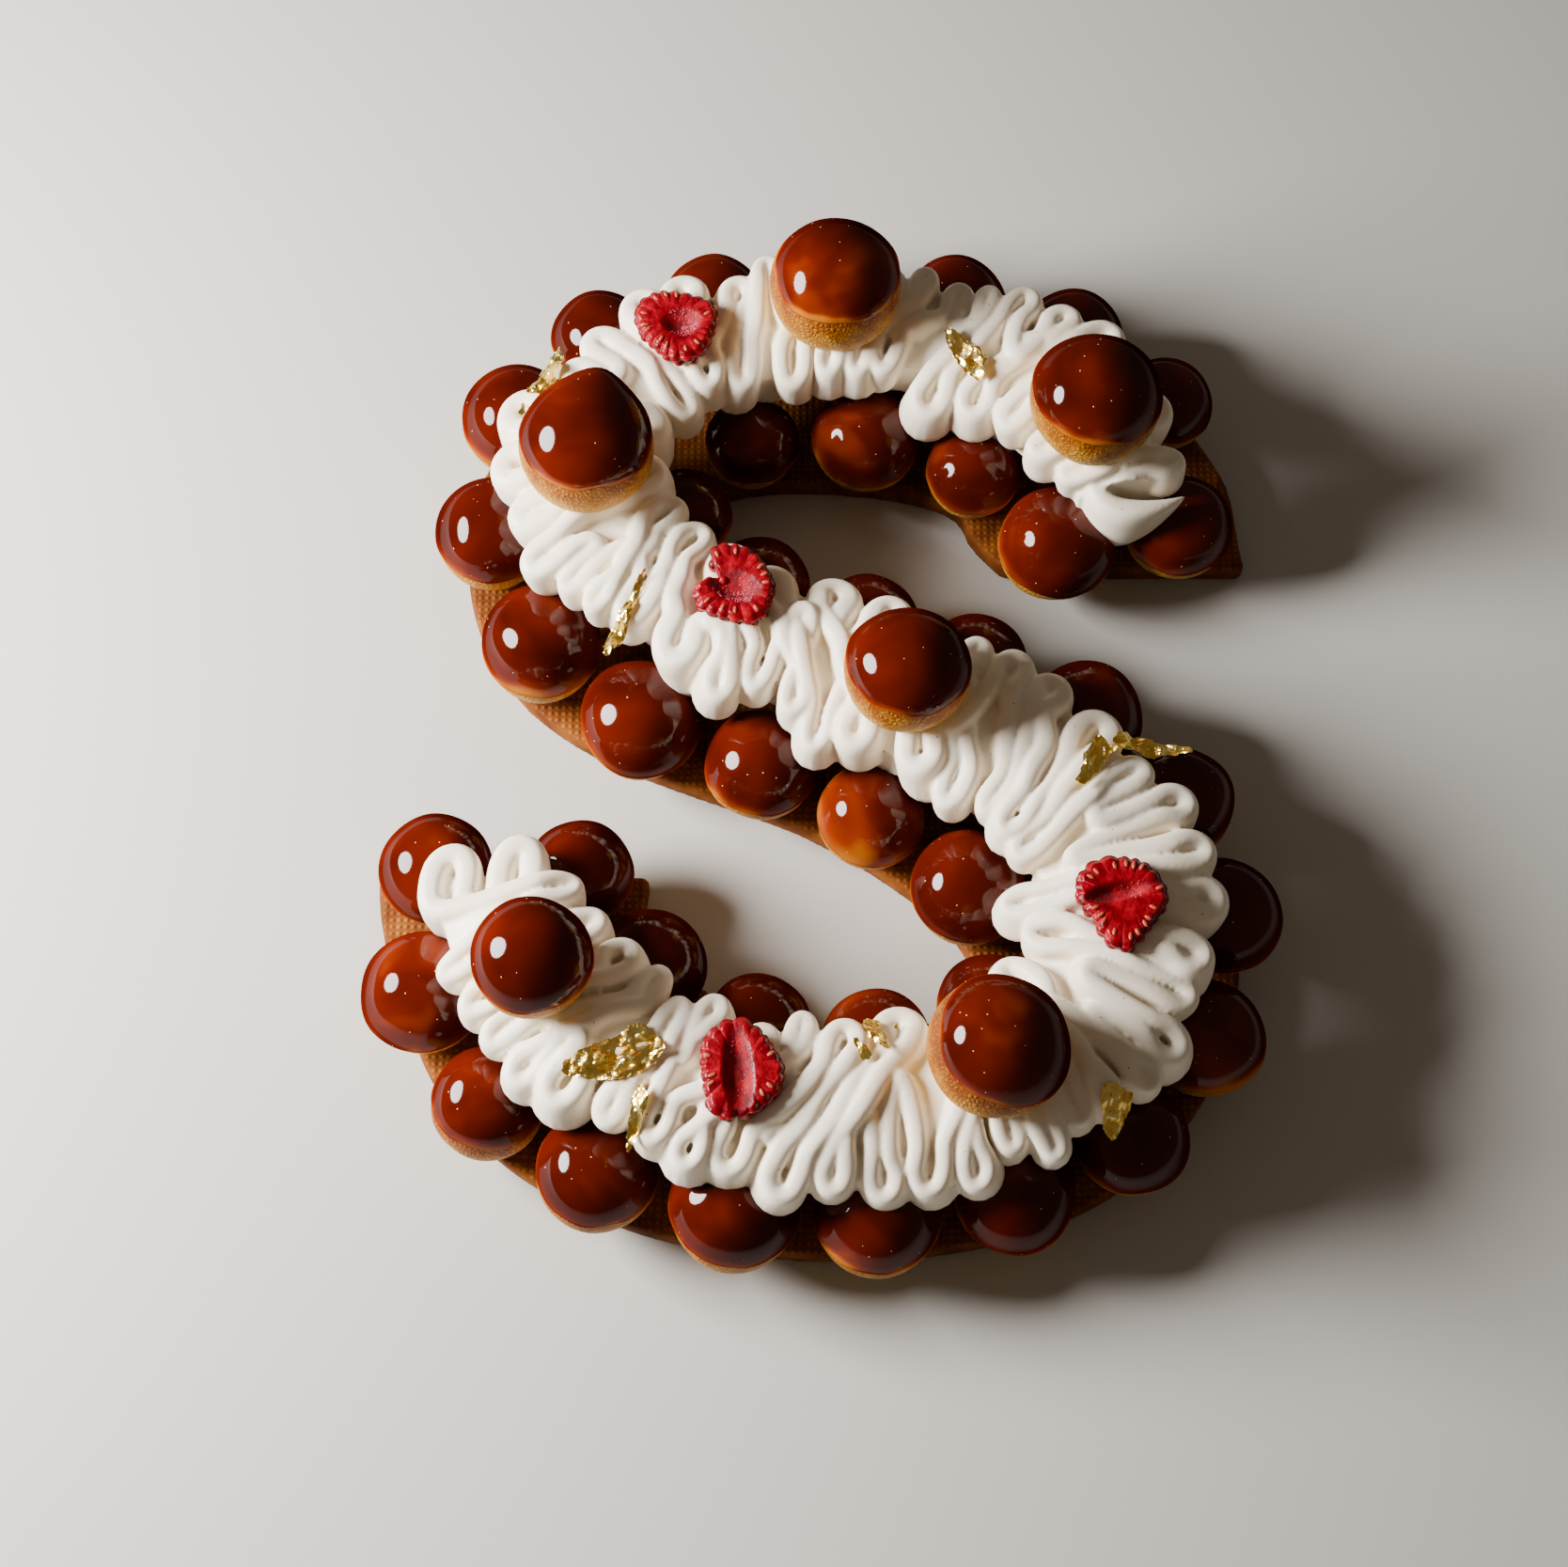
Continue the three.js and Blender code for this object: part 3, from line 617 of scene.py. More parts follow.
# In degrees: how far the lip is above the equator, how far the shell leans, towards where, and how far up
# from the lip it is thin.
DIPS = {
    "puff_top_01": (20, 1, 50, 9),
    "puff_top_02": (9, 9, 40, 9),
    "puff_top_03": (14, 5, 60, 9),
    "puff_top_04": (14, 8, 55, 9),
    "puff_top_05": (3, 3, 80, 12),
    "puff_top_06": (14, 18, 5, 9),
    "puff_left_15": (-1, 9, 80, 16),
    "puff_left_16": (1, 10, 60, 16),
    "puff_left_17": (5, 13, 45, 16),
    "puff_left_18": (8, 14, 58, 16),
    "puff_right_13": (-3, 8, 350, 75),
}


def dip_of(key, node):
    """How a puff's caramel lies on it, in the four numbers that DIPS has."""
    lean = CARAMEL_LEAN + CARAMEL_LEAN_SCATTER * scatter(key, 3)
    towards = LEAN_TOWARDS + LEAN_TOWARDS_SCATTER * scatter(key, 2)
    return DIPS.get(node, (CARAMEL_LIP, lean, towards, THIN_RUN))


print(len(DIPS), "dips judged by eye")

# %% [markdown]
# The caramel could be the top of the crust with another colour. But its round lip stands out by a
# millimetre and casts a line of shade, so it is a shell of its own, spun from a profile that runs up its
# inside, round the lip and back over its outside.

# %% A shell of caramel
SHELL_INSIDE = 0.95
SHELL_LIP = 0.975
SHELL_STEPS = 64
LIP_RAGGEDNESS = 0.07
LIP_WAVES = 2


def turn_round_centre(angle, axis):
    """A turn in radians round the middle of a puff of radius 1."""
    centre = Matrix.Translation((0, 0, PUFF_CENTRE))
    return centre @ Matrix.Rotation(angle, 4, axis) @ centre.inverted()


def caramel_shell(key, lip, lean, towards, thin_run):
    """The shell of a puff of radius 1. Its lip wanders, and it is thin near the lip."""
    inside = arc(SHELL_INSIDE, 90, lip + 2, 10)
    outside = arc(1, lip + 2, 90, 22)
    shell = spin_profile(inside + arc(SHELL_LIP, lip - 1, lip, 2) + outside, SHELL_STEPS)
    thinness = shell.verts.layers.float.new("thin")
    for vert in shell.verts:
        above = math.degrees(math.asin(min(max(vert.co.z - PUFF_CENTRE, -1), 1)))
        vert[thinness] = 1 - smooth_rise(lip, lip + thin_run, above)
        near_lip = 1 - smooth_rise(lip, lip + THIN_RUN, above)
        wander = LIP_RAGGEDNESS * near_lip * noise.noise(vert.co * LIP_WAVES + Vector((key, 0, 0)))
        vert.co = turn_round_centre(wander, Vector((-vert.co.y, vert.co.x, 0))) @ vert.co
    axis = Vector((-math.sin(math.radians(towards)), math.cos(math.radians(towards)), 0))
    bmesh.ops.transform(shell, matrix=turn_round_centre(math.radians(lean), axis), verts=shell.verts)
    return shell


print("shell of", SHELL_STEPS, "steps")

# %% [markdown]
# Now every puff gets its crust, which replaces its solid, and its shell, which is a piece more. The crust is
# a little smaller than the shell, so that the lip shows. The trees of the shells let the gold find later
# what lies under it.

# %% The puffs, crust and caramel
CRUST_RADIUS = 0.975
CRUST_STEPS = 48
CRUST_PROFILE = [(0, 0)] + arc(CRUST_RADIUS, -62.5, 90, 20)


def crust_ball():
    """The crust of a puff of radius 1, with how high each vertex is on it."""
    crust = spin_profile(CRUST_PROFILE, CRUST_STEPS)
    rise = crust.verts.layers.float.new("rise")
    for vert in crust.verts:
        vert[rise] = vert.co.z / PUFF_HEIGHT
    return crust


puff_trees = []
for key, node in enumerate(puff_nodes):
    crust = crust_ball()
    swell(crust, node, key)
    make_piece(f"crust_of_{node}", crust, [choux], [node])
    shell = caramel_shell(key, *dip_of(key, node))
    swell(shell, node, key)
    puff_trees.append(BVHTree.FromBMesh(shell))
    make_piece(f"caramel_on_{node}", shell, [caramel])
print("puffs made")

# %% [markdown]
# The cream is one long ribbon from a broad nozzle, piped to and fro across the letter. Each turn makes a
# plump lobe over the shoulder of a puff. Even lobes look like a machine's, so where they end was judged
# in the photograph: how far along the stroke, and how far out from its middle line.

# %% The lobes of the cream
RIGHT_LOBES = [
    (8, 20), (23, 22), (35, 23), (46, 25), (57, 21), (69, 21), (78, 17), (87, 17), (98, 20), (107, 17),
    (119, 20), (132, 20), (145, 24), (154, 15), (170, 19), (182, 19), (197, 17), (208, 15), (222, 29),
    (236, 29), (249, 26), (261, 28), (270, 22), (279, 21), (288, 17), (303, 22), (319, 26), (328, 19),
    (341, 22), (352, 29), (364, 26), (385, 25), (400, 28), (414, 24), (425, 25), (437, 27), (464, 35),
    (483, 29), (512, 31), (540, 27), (566, 29), (584, 23), (598, 26), (610, 20), (628, 24), (638, 19),
    (651, 27), (667, 27), (688, 27), (709, 24),
]
LEFT_LOBES = [
    (10, 20), (24, 27), (50, 28), (70, 28), (88, 31), (107, 21), (116, 22), (126, 23), (139, 27), (157, 25),
    (172, 23), (190, 28), (215, 25), (245, 26), (268, 27), (285, 26), (303, 27), (321, 25), (340, 28),
    (357, 28), (372, 24), (384, 26), (395, 27), (407, 28), (424, 27), (437, 25), (447, 31), (458, 30),
    (469, 31), (482, 26), (491, 25), (502, 28), (510, 27), (518, 25), (526, 22), (534, 28), (542, 22),
    (552, 29), (563, 28), (574, 29), (586, 28), (598, 31), (612, 26), (622, 27), (632, 24), (643, 25),
    (656, 26), (666, 27), (676, 24), (685, 23), (694, 24),
]


def crossing(lobe):
    """How far along the stroke the pass to a lobe crosses the middle line, by the lean of the passes."""
    along, side, reach = lobe
    return along - side * reach * stroke_at(along)[3]


lobes = [(along, -1, reach) for along, reach in RIGHT_LOBES]
lobes += [(along, 1, reach) for along, reach in LEFT_LOBES]
lobes.sort(key=crossing)
print(len(lobes), "lobes")

# %% [markdown]
# The ribbon starts with a thin tail over the first puff and ends in two upright curls, like fingers. These
# follow no stroke, so their points are given one by one.

# %% The two ends of the ribbon
# x, y and height in mm, and the size of the ribbon.
TAIL = [
    (117, 90.5, 45, 0.13),
    (111, 86, 48, 0.75),
    (103, 83.5, 50, 1.25),
    (95, 83.5, 51, 1.3),
    (89, 87, 52, 1.15),
    (87, 95, 53, 1.06),
]
FINGERS = [
    (-112.5, -54, 50, 1.1),
    (-113.5, -43, 50, 1.15),
    (-111.5, -33.5, 50, 1.2),
    (-103.5, -32, 50.5, 1.2),
    (-101, -39.5, 51, 1.1),
    (-104, -49, 51, 1),
    (-98, -58, 50, 1),
    (-92.5, -51, 51, 1.2),
    (-93, -38, 51.5, 1.3),
    (-89.5, -30, 51.5, 1.35),
    (-82, -31, 51.5, 1.35),
    (-82.5, -41, 52, 1.25),
    (-86, -52, 52, 1.1),
]


def fixed_points(places, along):
    """Points of the ribbon that are given by their own places, all at one length along the stroke."""
    return [(x - BOX_MIDDLE.x, y - BOX_MIDDLE.y, height, 0, size, along) for x, y, height, size in places]


print(len(TAIL), "points of the tail and", len(FINGERS), "of the fingers")

# %% [markdown]
# A lobe takes the room that its neighbours leave it. Where they crowd, on the inside of a bend, the ribbon
# gets thin and the loop narrow; where there is room, both get plump.

# %% How large each lobe is
RIBBON_HALF_WIDTH = 3.5
RIBBON_SHARE = 0.52
LEAST_SIZE = 0.8
MOST_SIZE = 1.35
SIZE_SCATTER = 0.07
LEAST_BULGE = 2.3
MOST_BULGE = 5
LOBE_GAP = 0.3
LEAST_SPREAD = 0.4


def room_at(i):
    """Half the room that the neighbours leave a lobe in mm, and the spread at its tip."""
    along, side, reach = lobes[i]
    same = sorted(a for a, s, _ in lobes if s == side)
    place = same.index(along)
    room = (same[min(place + 1, len(same) - 1)] - same[max(place - 1, 0)]) / 2
    spread = max(spread_at(along, side * (reach - RIBBON_HALF_WIDTH)), LEAST_SPREAD)
    return room * spread / 2 - LOBE_GAP, spread


def bulge_at(i):
    """Half the distance between the arms of a lobe in mm, the size of the ribbon there, and the spread."""
    room, spread = room_at(i)
    size = RIBBON_SHARE * room / RIBBON_HALF_WIDTH + SIZE_SCATTER * scatter(i, 13)
    size = min(max(size, LEAST_SIZE), MOST_SIZE)
    return min(max(room - RIBBON_HALF_WIDTH * size, LEAST_BULGE), MOST_BULGE), size, spread


print("first lobe", [round(v, 2) for v in bulge_at(0)])

# %% [markdown]
# Seen along the stroke, the crest of the cream is a low arch: 50 mm above the table over the rows, and up to
# 9 mm higher in the middle. A point of the ribbon holds its place on that crest, its twist and its size.

# %% The crest, and the turn of a lobe
CREAM_EDGE_HEIGHT = 50
CREAM_CROWN = 9
LEAST_HALF = 20
EDGE_HEIGHT_SCATTER = 1.8
RIBBON_TWIST = 0.28
# The points round a turn: along the stroke in shares of the bulge, and outwards from the tip in mm.
TURN = [
    (-0.7, -12),
    (-1, -7.5),
    (-1.25, -3.6),
    (-0.62, 0.9),
    (0.62, 0.9),
    (1.25, -3.6),
    (1, -7.5),
    (0.7, -12),
]
LEAN_FROM = 3
ARM_LEAN = 0.65
ARM_LEAN_SCATTER = 0.35


def crown_at(along, across):
    """How much higher than over the rows the cream stands, in mm."""
    half = max(stroke_at(along)[2], LEAST_HALF)
    return CREAM_CROWN * max(1 - (across / half) ** 2, 0)


def nozzle_point(along, across, height, key, size):
    """A point of the ribbon's crest in mm, its twist, its size, and how far along the stroke it is."""
    flat = plan(along, across)
    return (flat.x, flat.y, height + crown_at(along, across), RIBBON_TWIST * scatter(key, 9), size, along)


def slope_between(first, second):
    """How far along the stroke a pass runs for each mm across it, on its way from one lobe to the next."""
    (along, side, reach), (next_along, next_side, next_reach) = lobes[first], lobes[second]
    if side == next_side:
        return 0
    return (next_along - along) / (reach + next_reach)


def lobe_points(i):
    """The points round the turn of a lobe. Its arms lean the way that the passes beside it run."""
    along, side, reach = lobes[i]
    bulge, size, spread = bulge_at(i)
    height = CREAM_EDGE_HEIGHT + EDGE_HEIGHT_SCATTER * scatter(i, 7)
    arriving = -slope_between(i - 1, i) if i > 0 else 0
    leaving = slope_between(i, i + 1) if i + 1 < len(lobes) else 0
    share = ARM_LEAN + ARM_LEAN_SCATTER * scatter(i, 14)
    points = []
    for k, (step, out) in enumerate(TURN):
        lean = arriving if step < 0 else leaving
        at = along + step * bulge / spread - lean * min(out + LEAN_FROM, 0) * share
        across = side * (reach - RIBBON_HALF_WIDTH * size + out)
        points.append(nozzle_point(at, across, height, 3 * i + k // 2, size))
    return points


print("a lobe has", len(lobe_points(0)), "points")

# %% [markdown]
# The ribbon goes round the lobes of both sides in the order along the stroke. Where two of one side follow
# each other, as on the outside of a bend, it turns back in the middle instead of crossing.

# %% The way of the nozzle
PASS_SIZE = 1.08
PASS_WANDER = 2.6
PASS_HEIGHT_SCATTER = 1.6
# How far in from the tips a pass has its own points, where they lie on it, and how far along they move.
PASS_INSET = 16
PASS_PARTS = (0.3, 0.7)
PASS_ALONG = (0.35, 0.65)
# Where the ribbon turns back: how far out, its least distance from the tips, and its half width.
INNER_REACH = -3.5
INNER_REACH_SCATTER = 12
INNER_INSET = 18
INNER_TURN = 2.9


def pass_points(i):
    """The points between a lobe and the next: two if the ribbon crosses over, two if it turns back."""
    (along, side, reach), (next_along, next_side, next_reach) = lobes[i], lobes[i + 1]
    height = CREAM_EDGE_HEIGHT + PASS_HEIGHT_SCATTER * scatter(i, 11)
    if side == next_side:
        inner = min(INNER_REACH + INNER_REACH_SCATTER * scatter(i, 12), min(reach, next_reach) - INNER_INSET)
        middle = (along + next_along) / 2
        sides = (middle - INNER_TURN, middle + INNER_TURN)
        return [nozzle_point(at, side * inner, height, 5 * i, PASS_SIZE) for at in sides]
    points = []
    for k, part in enumerate(PASS_PARTS):
        at = mix(along, next_along, mix(*PASS_ALONG, part)) + PASS_WANDER * scatter(2 * i + k, 10)
        across = side * mix(reach - PASS_INSET, PASS_INSET - next_reach, part)
        points.append(nozzle_point(at, across, height, 5 * i + k, PASS_SIZE))
    return points


ribbon = fixed_points(TAIL, 0)
for i in range(len(lobes) - 1):
    ribbon += lobe_points(i) + pass_points(i)
ribbon += lobe_points(len(lobes) - 1) + fixed_points(FINGERS, stroke_length)
print(len(ribbon), "points of the ribbon")

# %% [markdown]
# A curve that has another curve as its bevel sweeps that section along the whole way, with the twist and the
# size of each point. The section is round on top and reaches down like a wall, so that no gap shows between
# two passes.

# %% Sweeping the ribbon
# Half the section, from the middle of its crest to its foot.
SECTION = [
    (0, 0),
    (1.2, -0.1),
    (2.1, -0.5),
    (2.8, -1.3),
    (3.25, -2.5),
    (3.5, -4.2),
    (3.5, -7),
    (3.4, -10),
    (3, -14),
    (2, -17),
    (0, -18),
]


def nozzle_section():
    """The section of the ribbon as a curve, with the middle of its crest at the origin."""
    curve = bpy.data.curves.new("nozzle_section", "CURVE")
    spline = curve.splines.new("POLY")
    outline = SECTION + [(-x, y) for x, y in reversed(SECTION[1:-1])]
    spline.points.add(len(outline) - 1)
    for point, (x, y) in zip(spline.points, outline):
        point.co = (x * MM, y * MM, 0, 1)
    spline.use_cyclic_u = True
    section = bpy.data.objects.new("nozzle_section", curve)
    scene.collection.objects.link(section)
    return section


def sweep(points, section):
    """A bmesh of the ribbon along some of its points."""
    curve = bpy.data.curves.new("ribbon", "CURVE")
    curve.dimensions = "3D"
    curve.twist_mode = "Z_UP"
    curve.bevel_mode = "OBJECT"
    curve.bevel_object = section
    curve.use_fill_caps = True
    curve.resolution_u = 5
    spline = curve.splines.new("NURBS")
    spline.points.add(len(points) - 1)
    spline.order_u = 4
    spline.use_endpoint_u = True
    for point, (x, y, z, twist, size, _) in zip(spline.points, points):
        point.co = (x * MM, y * MM, z * MM, 1)
        point.tilt = twist
        point.radius = size
    helper = bpy.data.objects.new("ribbon", curve)
    scene.collection.objects.link(helper)
    return mesh_of(helper)


print("section", 2 * RIBBON_HALF_WIDTH, "mm wide")

# %% [markdown]
# Soft cream joins where two passes touch, and no gap between them goes down to the base. So a core is laid
# under the ridges, a grid that is bent to the crest and given a thickness.

# %% The core under the ridges
CORE_CELL = 3
CORE_ROWS = 12
CORE_INSET = 5.5
CORE_DEPTH = 14
CORE_SINK_MIDDLE = 5
CORE_SINK_EDGE = 8
CORE_SWELL = 1.2
CORE_SWELL_SPAN = 9


def width_at(along, side_lobes):
    """How far the cream reaches out on one side, by its lobes nearest to a length along the stroke."""
    near = sorted(side_lobes, key=lambda lobe: abs(lobe[0] - along))[:2]
    return min(reach for _, reach in near)


def core(first, last):
    """The cream under the ridges between two lengths along the stroke."""
    bm = bmesh.new()
    bmesh.ops.create_grid(bm, x_segments=int((last - first) / CORE_CELL), y_segments=CORE_ROWS, size=0.5)
    for vert in bm.verts:
        along = mix(first, last, vert.co.x + 0.5)
        right = width_at(along, RIGHT_LOBES) - CORE_INSET
        left = width_at(along, LEFT_LOBES) - CORE_INSET
        across = mix(-right, left, vert.co.y + 0.5)
        outwards = abs(2 * vert.co.y)
        flat = plan(along, across)
        sink = mix(CORE_SINK_MIDDLE, CORE_SINK_EDGE, outwards**2)
        sink += CORE_SWELL * noise.noise(flat / CORE_SWELL_SPAN)
        vert.co = Vector((flat.x, flat.y, CREAM_EDGE_HEIGHT + crown_at(along, across) - sink)) * MM
    bmesh.ops.solidify(bm, geom=bm.faces[:], thickness=CORE_DEPTH * MM)
    close_up(bm, 0.01 * MM)
    return bm


print("core", CORE_DEPTH, "mm deep")

# %% [markdown]
# The groove inside a lobe isn't a hole: the two arms of the ribbon squeeze together below it. A ball of
# cream under each groove closes it there.

# %% Plugs under the grooves
PLUG_INSET = 8.5
PLUG_SINK = 11.5
PLUG_HEIGHT = 6.5
PLUG_SHARE = 0.6
FINGER_PLUGS = [(-107, -42), (-88, -40)]
FINGER_PLUG_HALF = 6
FINGER_PLUG_LIFT = 1.5
CORE_END = 25


def plug(bm, x, y, crest, half_width):
    """Adds a ball of cream that closes a lobe below its groove."""
    middle = Vector((x, y, crest - PLUG_SINK)) * MM
    size = Matrix.Diagonal((half_width * MM, half_width * MM, PLUG_HEIGHT * MM, 1))
    bmesh.ops.create_icosphere(bm, subdivisions=3, radius=1, matrix=Matrix.Translation(middle) @ size)


def plug_lobes(bm, first, last):
    """Adds the plugs of the lobes between two lengths along the stroke, and at its end of the fingers."""
    for i, (along, side, reach) in enumerate(lobes):
        if first - 2 < along < last + 2:
            bulge, size, _ = bulge_at(i)
            across = side * (reach - PLUG_INSET)
            flat = plan(along, across)
            crest = CREAM_EDGE_HEIGHT + crown_at(along, across)
            plug(bm, flat.x, flat.y, crest, bulge + RIBBON_HALF_WIDTH * size * PLUG_SHARE)
    if last > stroke_length - CORE_END - 1:
        for x, y in FINGER_PLUGS:
            crest = CREAM_EDGE_HEIGHT + FINGER_PLUG_LIFT
            plug(bm, x - BOX_MIDDLE.x, y - BOX_MIDDLE.y, crest, FINGER_PLUG_HALF)


print(len(lobes) + len(FINGER_PLUGS), "plugs")

# %% [markdown]
# Whipped cream is matt and faintly yellow, and light goes a little way into it before it comes out again,
# so its shades are soft and warm. A few dark specks of vanilla lie in it.

# %% Whipped cream
SPECK_SPACING = 5
SPECK_SIZE = 0.045
CREAM_PATCH = 12

cream, place, shader = new_material(
    "whipped_cream",
    {
        "Roughness": 0.42,
        "Specular IOR Level": 0.35,
        "Subsurface Weight": 0.15,
        "Subsurface Scale": 2 * MM,
        "Subsurface Radius": (1.0, 0.8, 0.5),
    },
)
tone = add_node(cream, "ShaderNodeTexNoise", {"Vector": place, "Scale": 1 / (CREAM_PATCH * MM), "Detail": 3})
white = add_node(
    cream, "ShaderNodeValToRGB", {"Fac": tone.outputs["Fac"]}, [(0.3, "#efe2cc"), (0.7, "#f5ecdb")]
)
specks = add_node(cream, "ShaderNodeTexVoronoi", {"Vector": place, "Scale": 1 / (SPECK_SPACING * MM)})
speck = add_node(
    cream, "ShaderNodeMath", {0: specks.outputs["Distance"], 1: SPECK_SIZE}, operation="LESS_THAN"
)
shade = add_node(
    cream,
    "ShaderNodeMix",
    {"Factor": speck.outputs[0], "A": white.outputs["Color"], "B": linear("#5b4632")},
    data_type="RGBA",
)
feed(shader, {"Base Color": shade.outputs["Result"]})
print("cream finish")

# %% [markdown]
# A fine even mesh over the ribbon, the core and the plugs joins them as soft cream joins, and is softened
# once. The cream is made in seven lengths that meet under the puffs on top, to keep each mesh a handy size.

# %% Piped cream
CREAM_VOXEL = 0.7
CORE_START = 3
CORE_OVERLAP = 4


def nearest_point(node):
    """The number of the ribbon's point nearest to the axis of a puff."""
    foot = puff_place(node)[0] / MM
    return min(range(len(ribbon)), key=lambda i: math.hypot(ribbon[i][0] - foot.x, ribbon[i][1] - foot.y))


def largest_body(bm):
    """Removes all but the body of the highest vertex, such as a bubble shut in between two ridges."""
    seen = set()
    front = [max(bm.verts, key=lambda v: v.co.z)]
    while front:
        vert = front.pop()
        if vert not in seen:
            seen.add(vert)
            front.extend(e.other_vert(vert) for e in vert.link_edges)
    bmesh.ops.delete(bm, geom=[v for v in bm.verts if v not in seen], context="VERTS")


def cream_length(points, section):
    """A bmesh of the cream along some points of the ribbon."""
    start = max(points[0][-1] - CORE_OVERLAP, CORE_START)
    stop = min(points[-1][-1] + CORE_OVERLAP, stroke_length - CORE_END)
    under = core(start, stop)
    plug_lobes(under, start, stop)
    mesh = bpy.data.meshes.new("core")
    under.to_mesh(mesh)
    under.free()
    bm = sweep(points, section)
    bm.from_mesh(mesh)
    bm = even_mesh(bm, CREAM_VOXEL)
    largest_body(bm)
    soften(bm)
    return bm


section = nozzle_section()
joints = sorted(nearest_point(node) for node in puff_nodes if node.startswith("puff_top"))
cream_trees = []
for number, (first, last) in enumerate(zip([0] + joints, joints + [len(ribbon)]), 1):
    bm = cream_length(ribbon[first : last + 1], section)
    print("cream", number, len(bm.faces), "faces")
    cream_trees.append(BVHTree.FromBMesh(bm))
    make_piece(f"cream_length_{number}", bm, [cream], ["piped_cream"])
bpy.data.objects.remove(section)

# %% [markdown]
# Beaten gold leaf is pure gold, a mirror with a warm colour, crumpled as it is laid down. It looks alive
# because each little facet mirrors another part of the room, so the creases are cut into the mesh, and the
# finish is only a metal that is a little rough, with slightly uneven colour.

# %% Gold leaf: its finish
FOIL_PATCH = 3

foil, place, shader = new_material("gold_leaf", {"Metallic": 1, "Roughness": 0.27})
beaten = add_node(foil, "ShaderNodeTexNoise", {"Vector": place, "Scale": 1 / (FOIL_PATCH * MM), "Detail": 4})
yellow = add_node(
    foil,
    "ShaderNodeValToRGB",
    {"Fac": beaten.outputs["Fac"]},
    [(0.3, "#ecb944"), (0.5, "#fbd86c"), (0.7, "#fff0a8")],
)
feed(shader, {"Base Color": yellow.outputs["Color"]})
print("gold finish")

# %% [markdown]
# A leaf starts as a flat grid. The cells outside a ragged line, somewhere between a square and an ellipse
# that narrows to one end, are torn off, and the torn rim is softened.

# %% Gold leaf: a torn sheet
FOIL_CELL = 0.5
NARROW_END = 0.35
TEAR_REACH = 0.8
TEAR_DEPTH = 0.5
SQUARE_SHARE = 0.5
ROUND_SHARE = 0.4


def torn_sheet(length, width, key):
    """A flat sheet in metres, torn to an odd outline that narrows towards +X."""
    bm = bmesh.new()
    cells = [max(int(side / FOIL_CELL), 3) for side in (length, width)]
    size = Matrix.Diagonal((length * MM, width * MM, 1, 1))
    bmesh.ops.create_grid(bm, x_segments=cells[0], y_segments=cells[1], size=0.5, matrix=size)
    torn = []
    for face in bm.faces:
        middle = face.calc_center_median()
        u = 2 * middle.x / (length * MM)
        v = 2 * middle.y / (width * MM) / mix(1, NARROW_END, (u + 1) / 2)
        out = SQUARE_SHARE * max(abs(u), abs(v)) ** 2 + ROUND_SHARE * (u * u + v * v)
        if out > TEAR_REACH + TEAR_DEPTH * noise.noise(Vector((u * 1.9, v * 1.4, key * 3.1))):
            torn.append(face)
    bmesh.ops.delete(bm, geom=torn, context="FACES")
    for _ in range(2):
        rim = [v for v in bm.verts if v.is_boundary]
        bmesh.ops.smooth_vert(bm, verts=rim, factor=0.5, use_axis_x=True, use_axis_y=True)
    return bm


print("cells of", FOIL_CELL, "mm")

# %% [markdown]
# Cloth simulation could crumple the sheet, but not the same way on every run. A cell pattern whose distances
# are counted along the axes does: it has flat sides and sharp ridges, and three of them, large to small,
# look like crushed foil.

# %% Gold leaf: creases
# Facets: how long they are in mm, how steep they are, and their turn in degrees.
FOIL_FACETS = [(8, 0.45, 20), (3.8, 0.42, 55), (1.8, 0.36, -10)]
FACET_TURN_SCATTER = 40
FACET_STRETCH = 0.6


def fold_at(x, y, key):
    """How high the creases lift a place of a sheet, in mm."""
    height = 0
    for number, (length, slope, turn) in enumerate(FOIL_FACETS):
        turned = Matrix.Rotation(math.radians(turn + FACET_TURN_SCATTER * scatter(key, 30 + number)), 2)
        spot = turned @ Vector((x * FACET_STRETCH, y)) / length
        distances, _ = noise.voronoi(Vector((spot.x, spot.y, 9 * key)), distance_metric="MANHATTAN")
        height += slope * length * distances[0]
    return height


print("fold in the middle", round(fold_at(0, 0, 1), 2), "mm")

# %% [markdown]
# Then the leaf settles. Each vertex falls on whatever is highest near it, the sheet is drawn smooth, as it
# is too stiff for the narrow grooves of the cream, and in a few places it is pressed in.

# %% Gold leaf: laying it down
FROM_ABOVE = 200
DRAPE_REACH = [(0, 0), (2, 0), (-2, 0), (0, 2), (0, -2)]
MOST_DROP = 7
STIFFNESS = 18
PRESSED_IN = 0.07
FOIL_CURL = 1.2
# Leaves shorter than this have smaller folds.
FULL_FOLD_LENGTH = 15


def surface_height(x, y):
    """The height in metres of whatever lies highest at a place, or None."""
    start, down = Vector((x, y, FROM_ABOVE * MM)), Vector((0, 0, -1))
    hits = [tree.ray_cast(start, down)[0] for tree in cream_trees + puff_trees]
    return max((hit.z for hit in hits if hit), default=None)


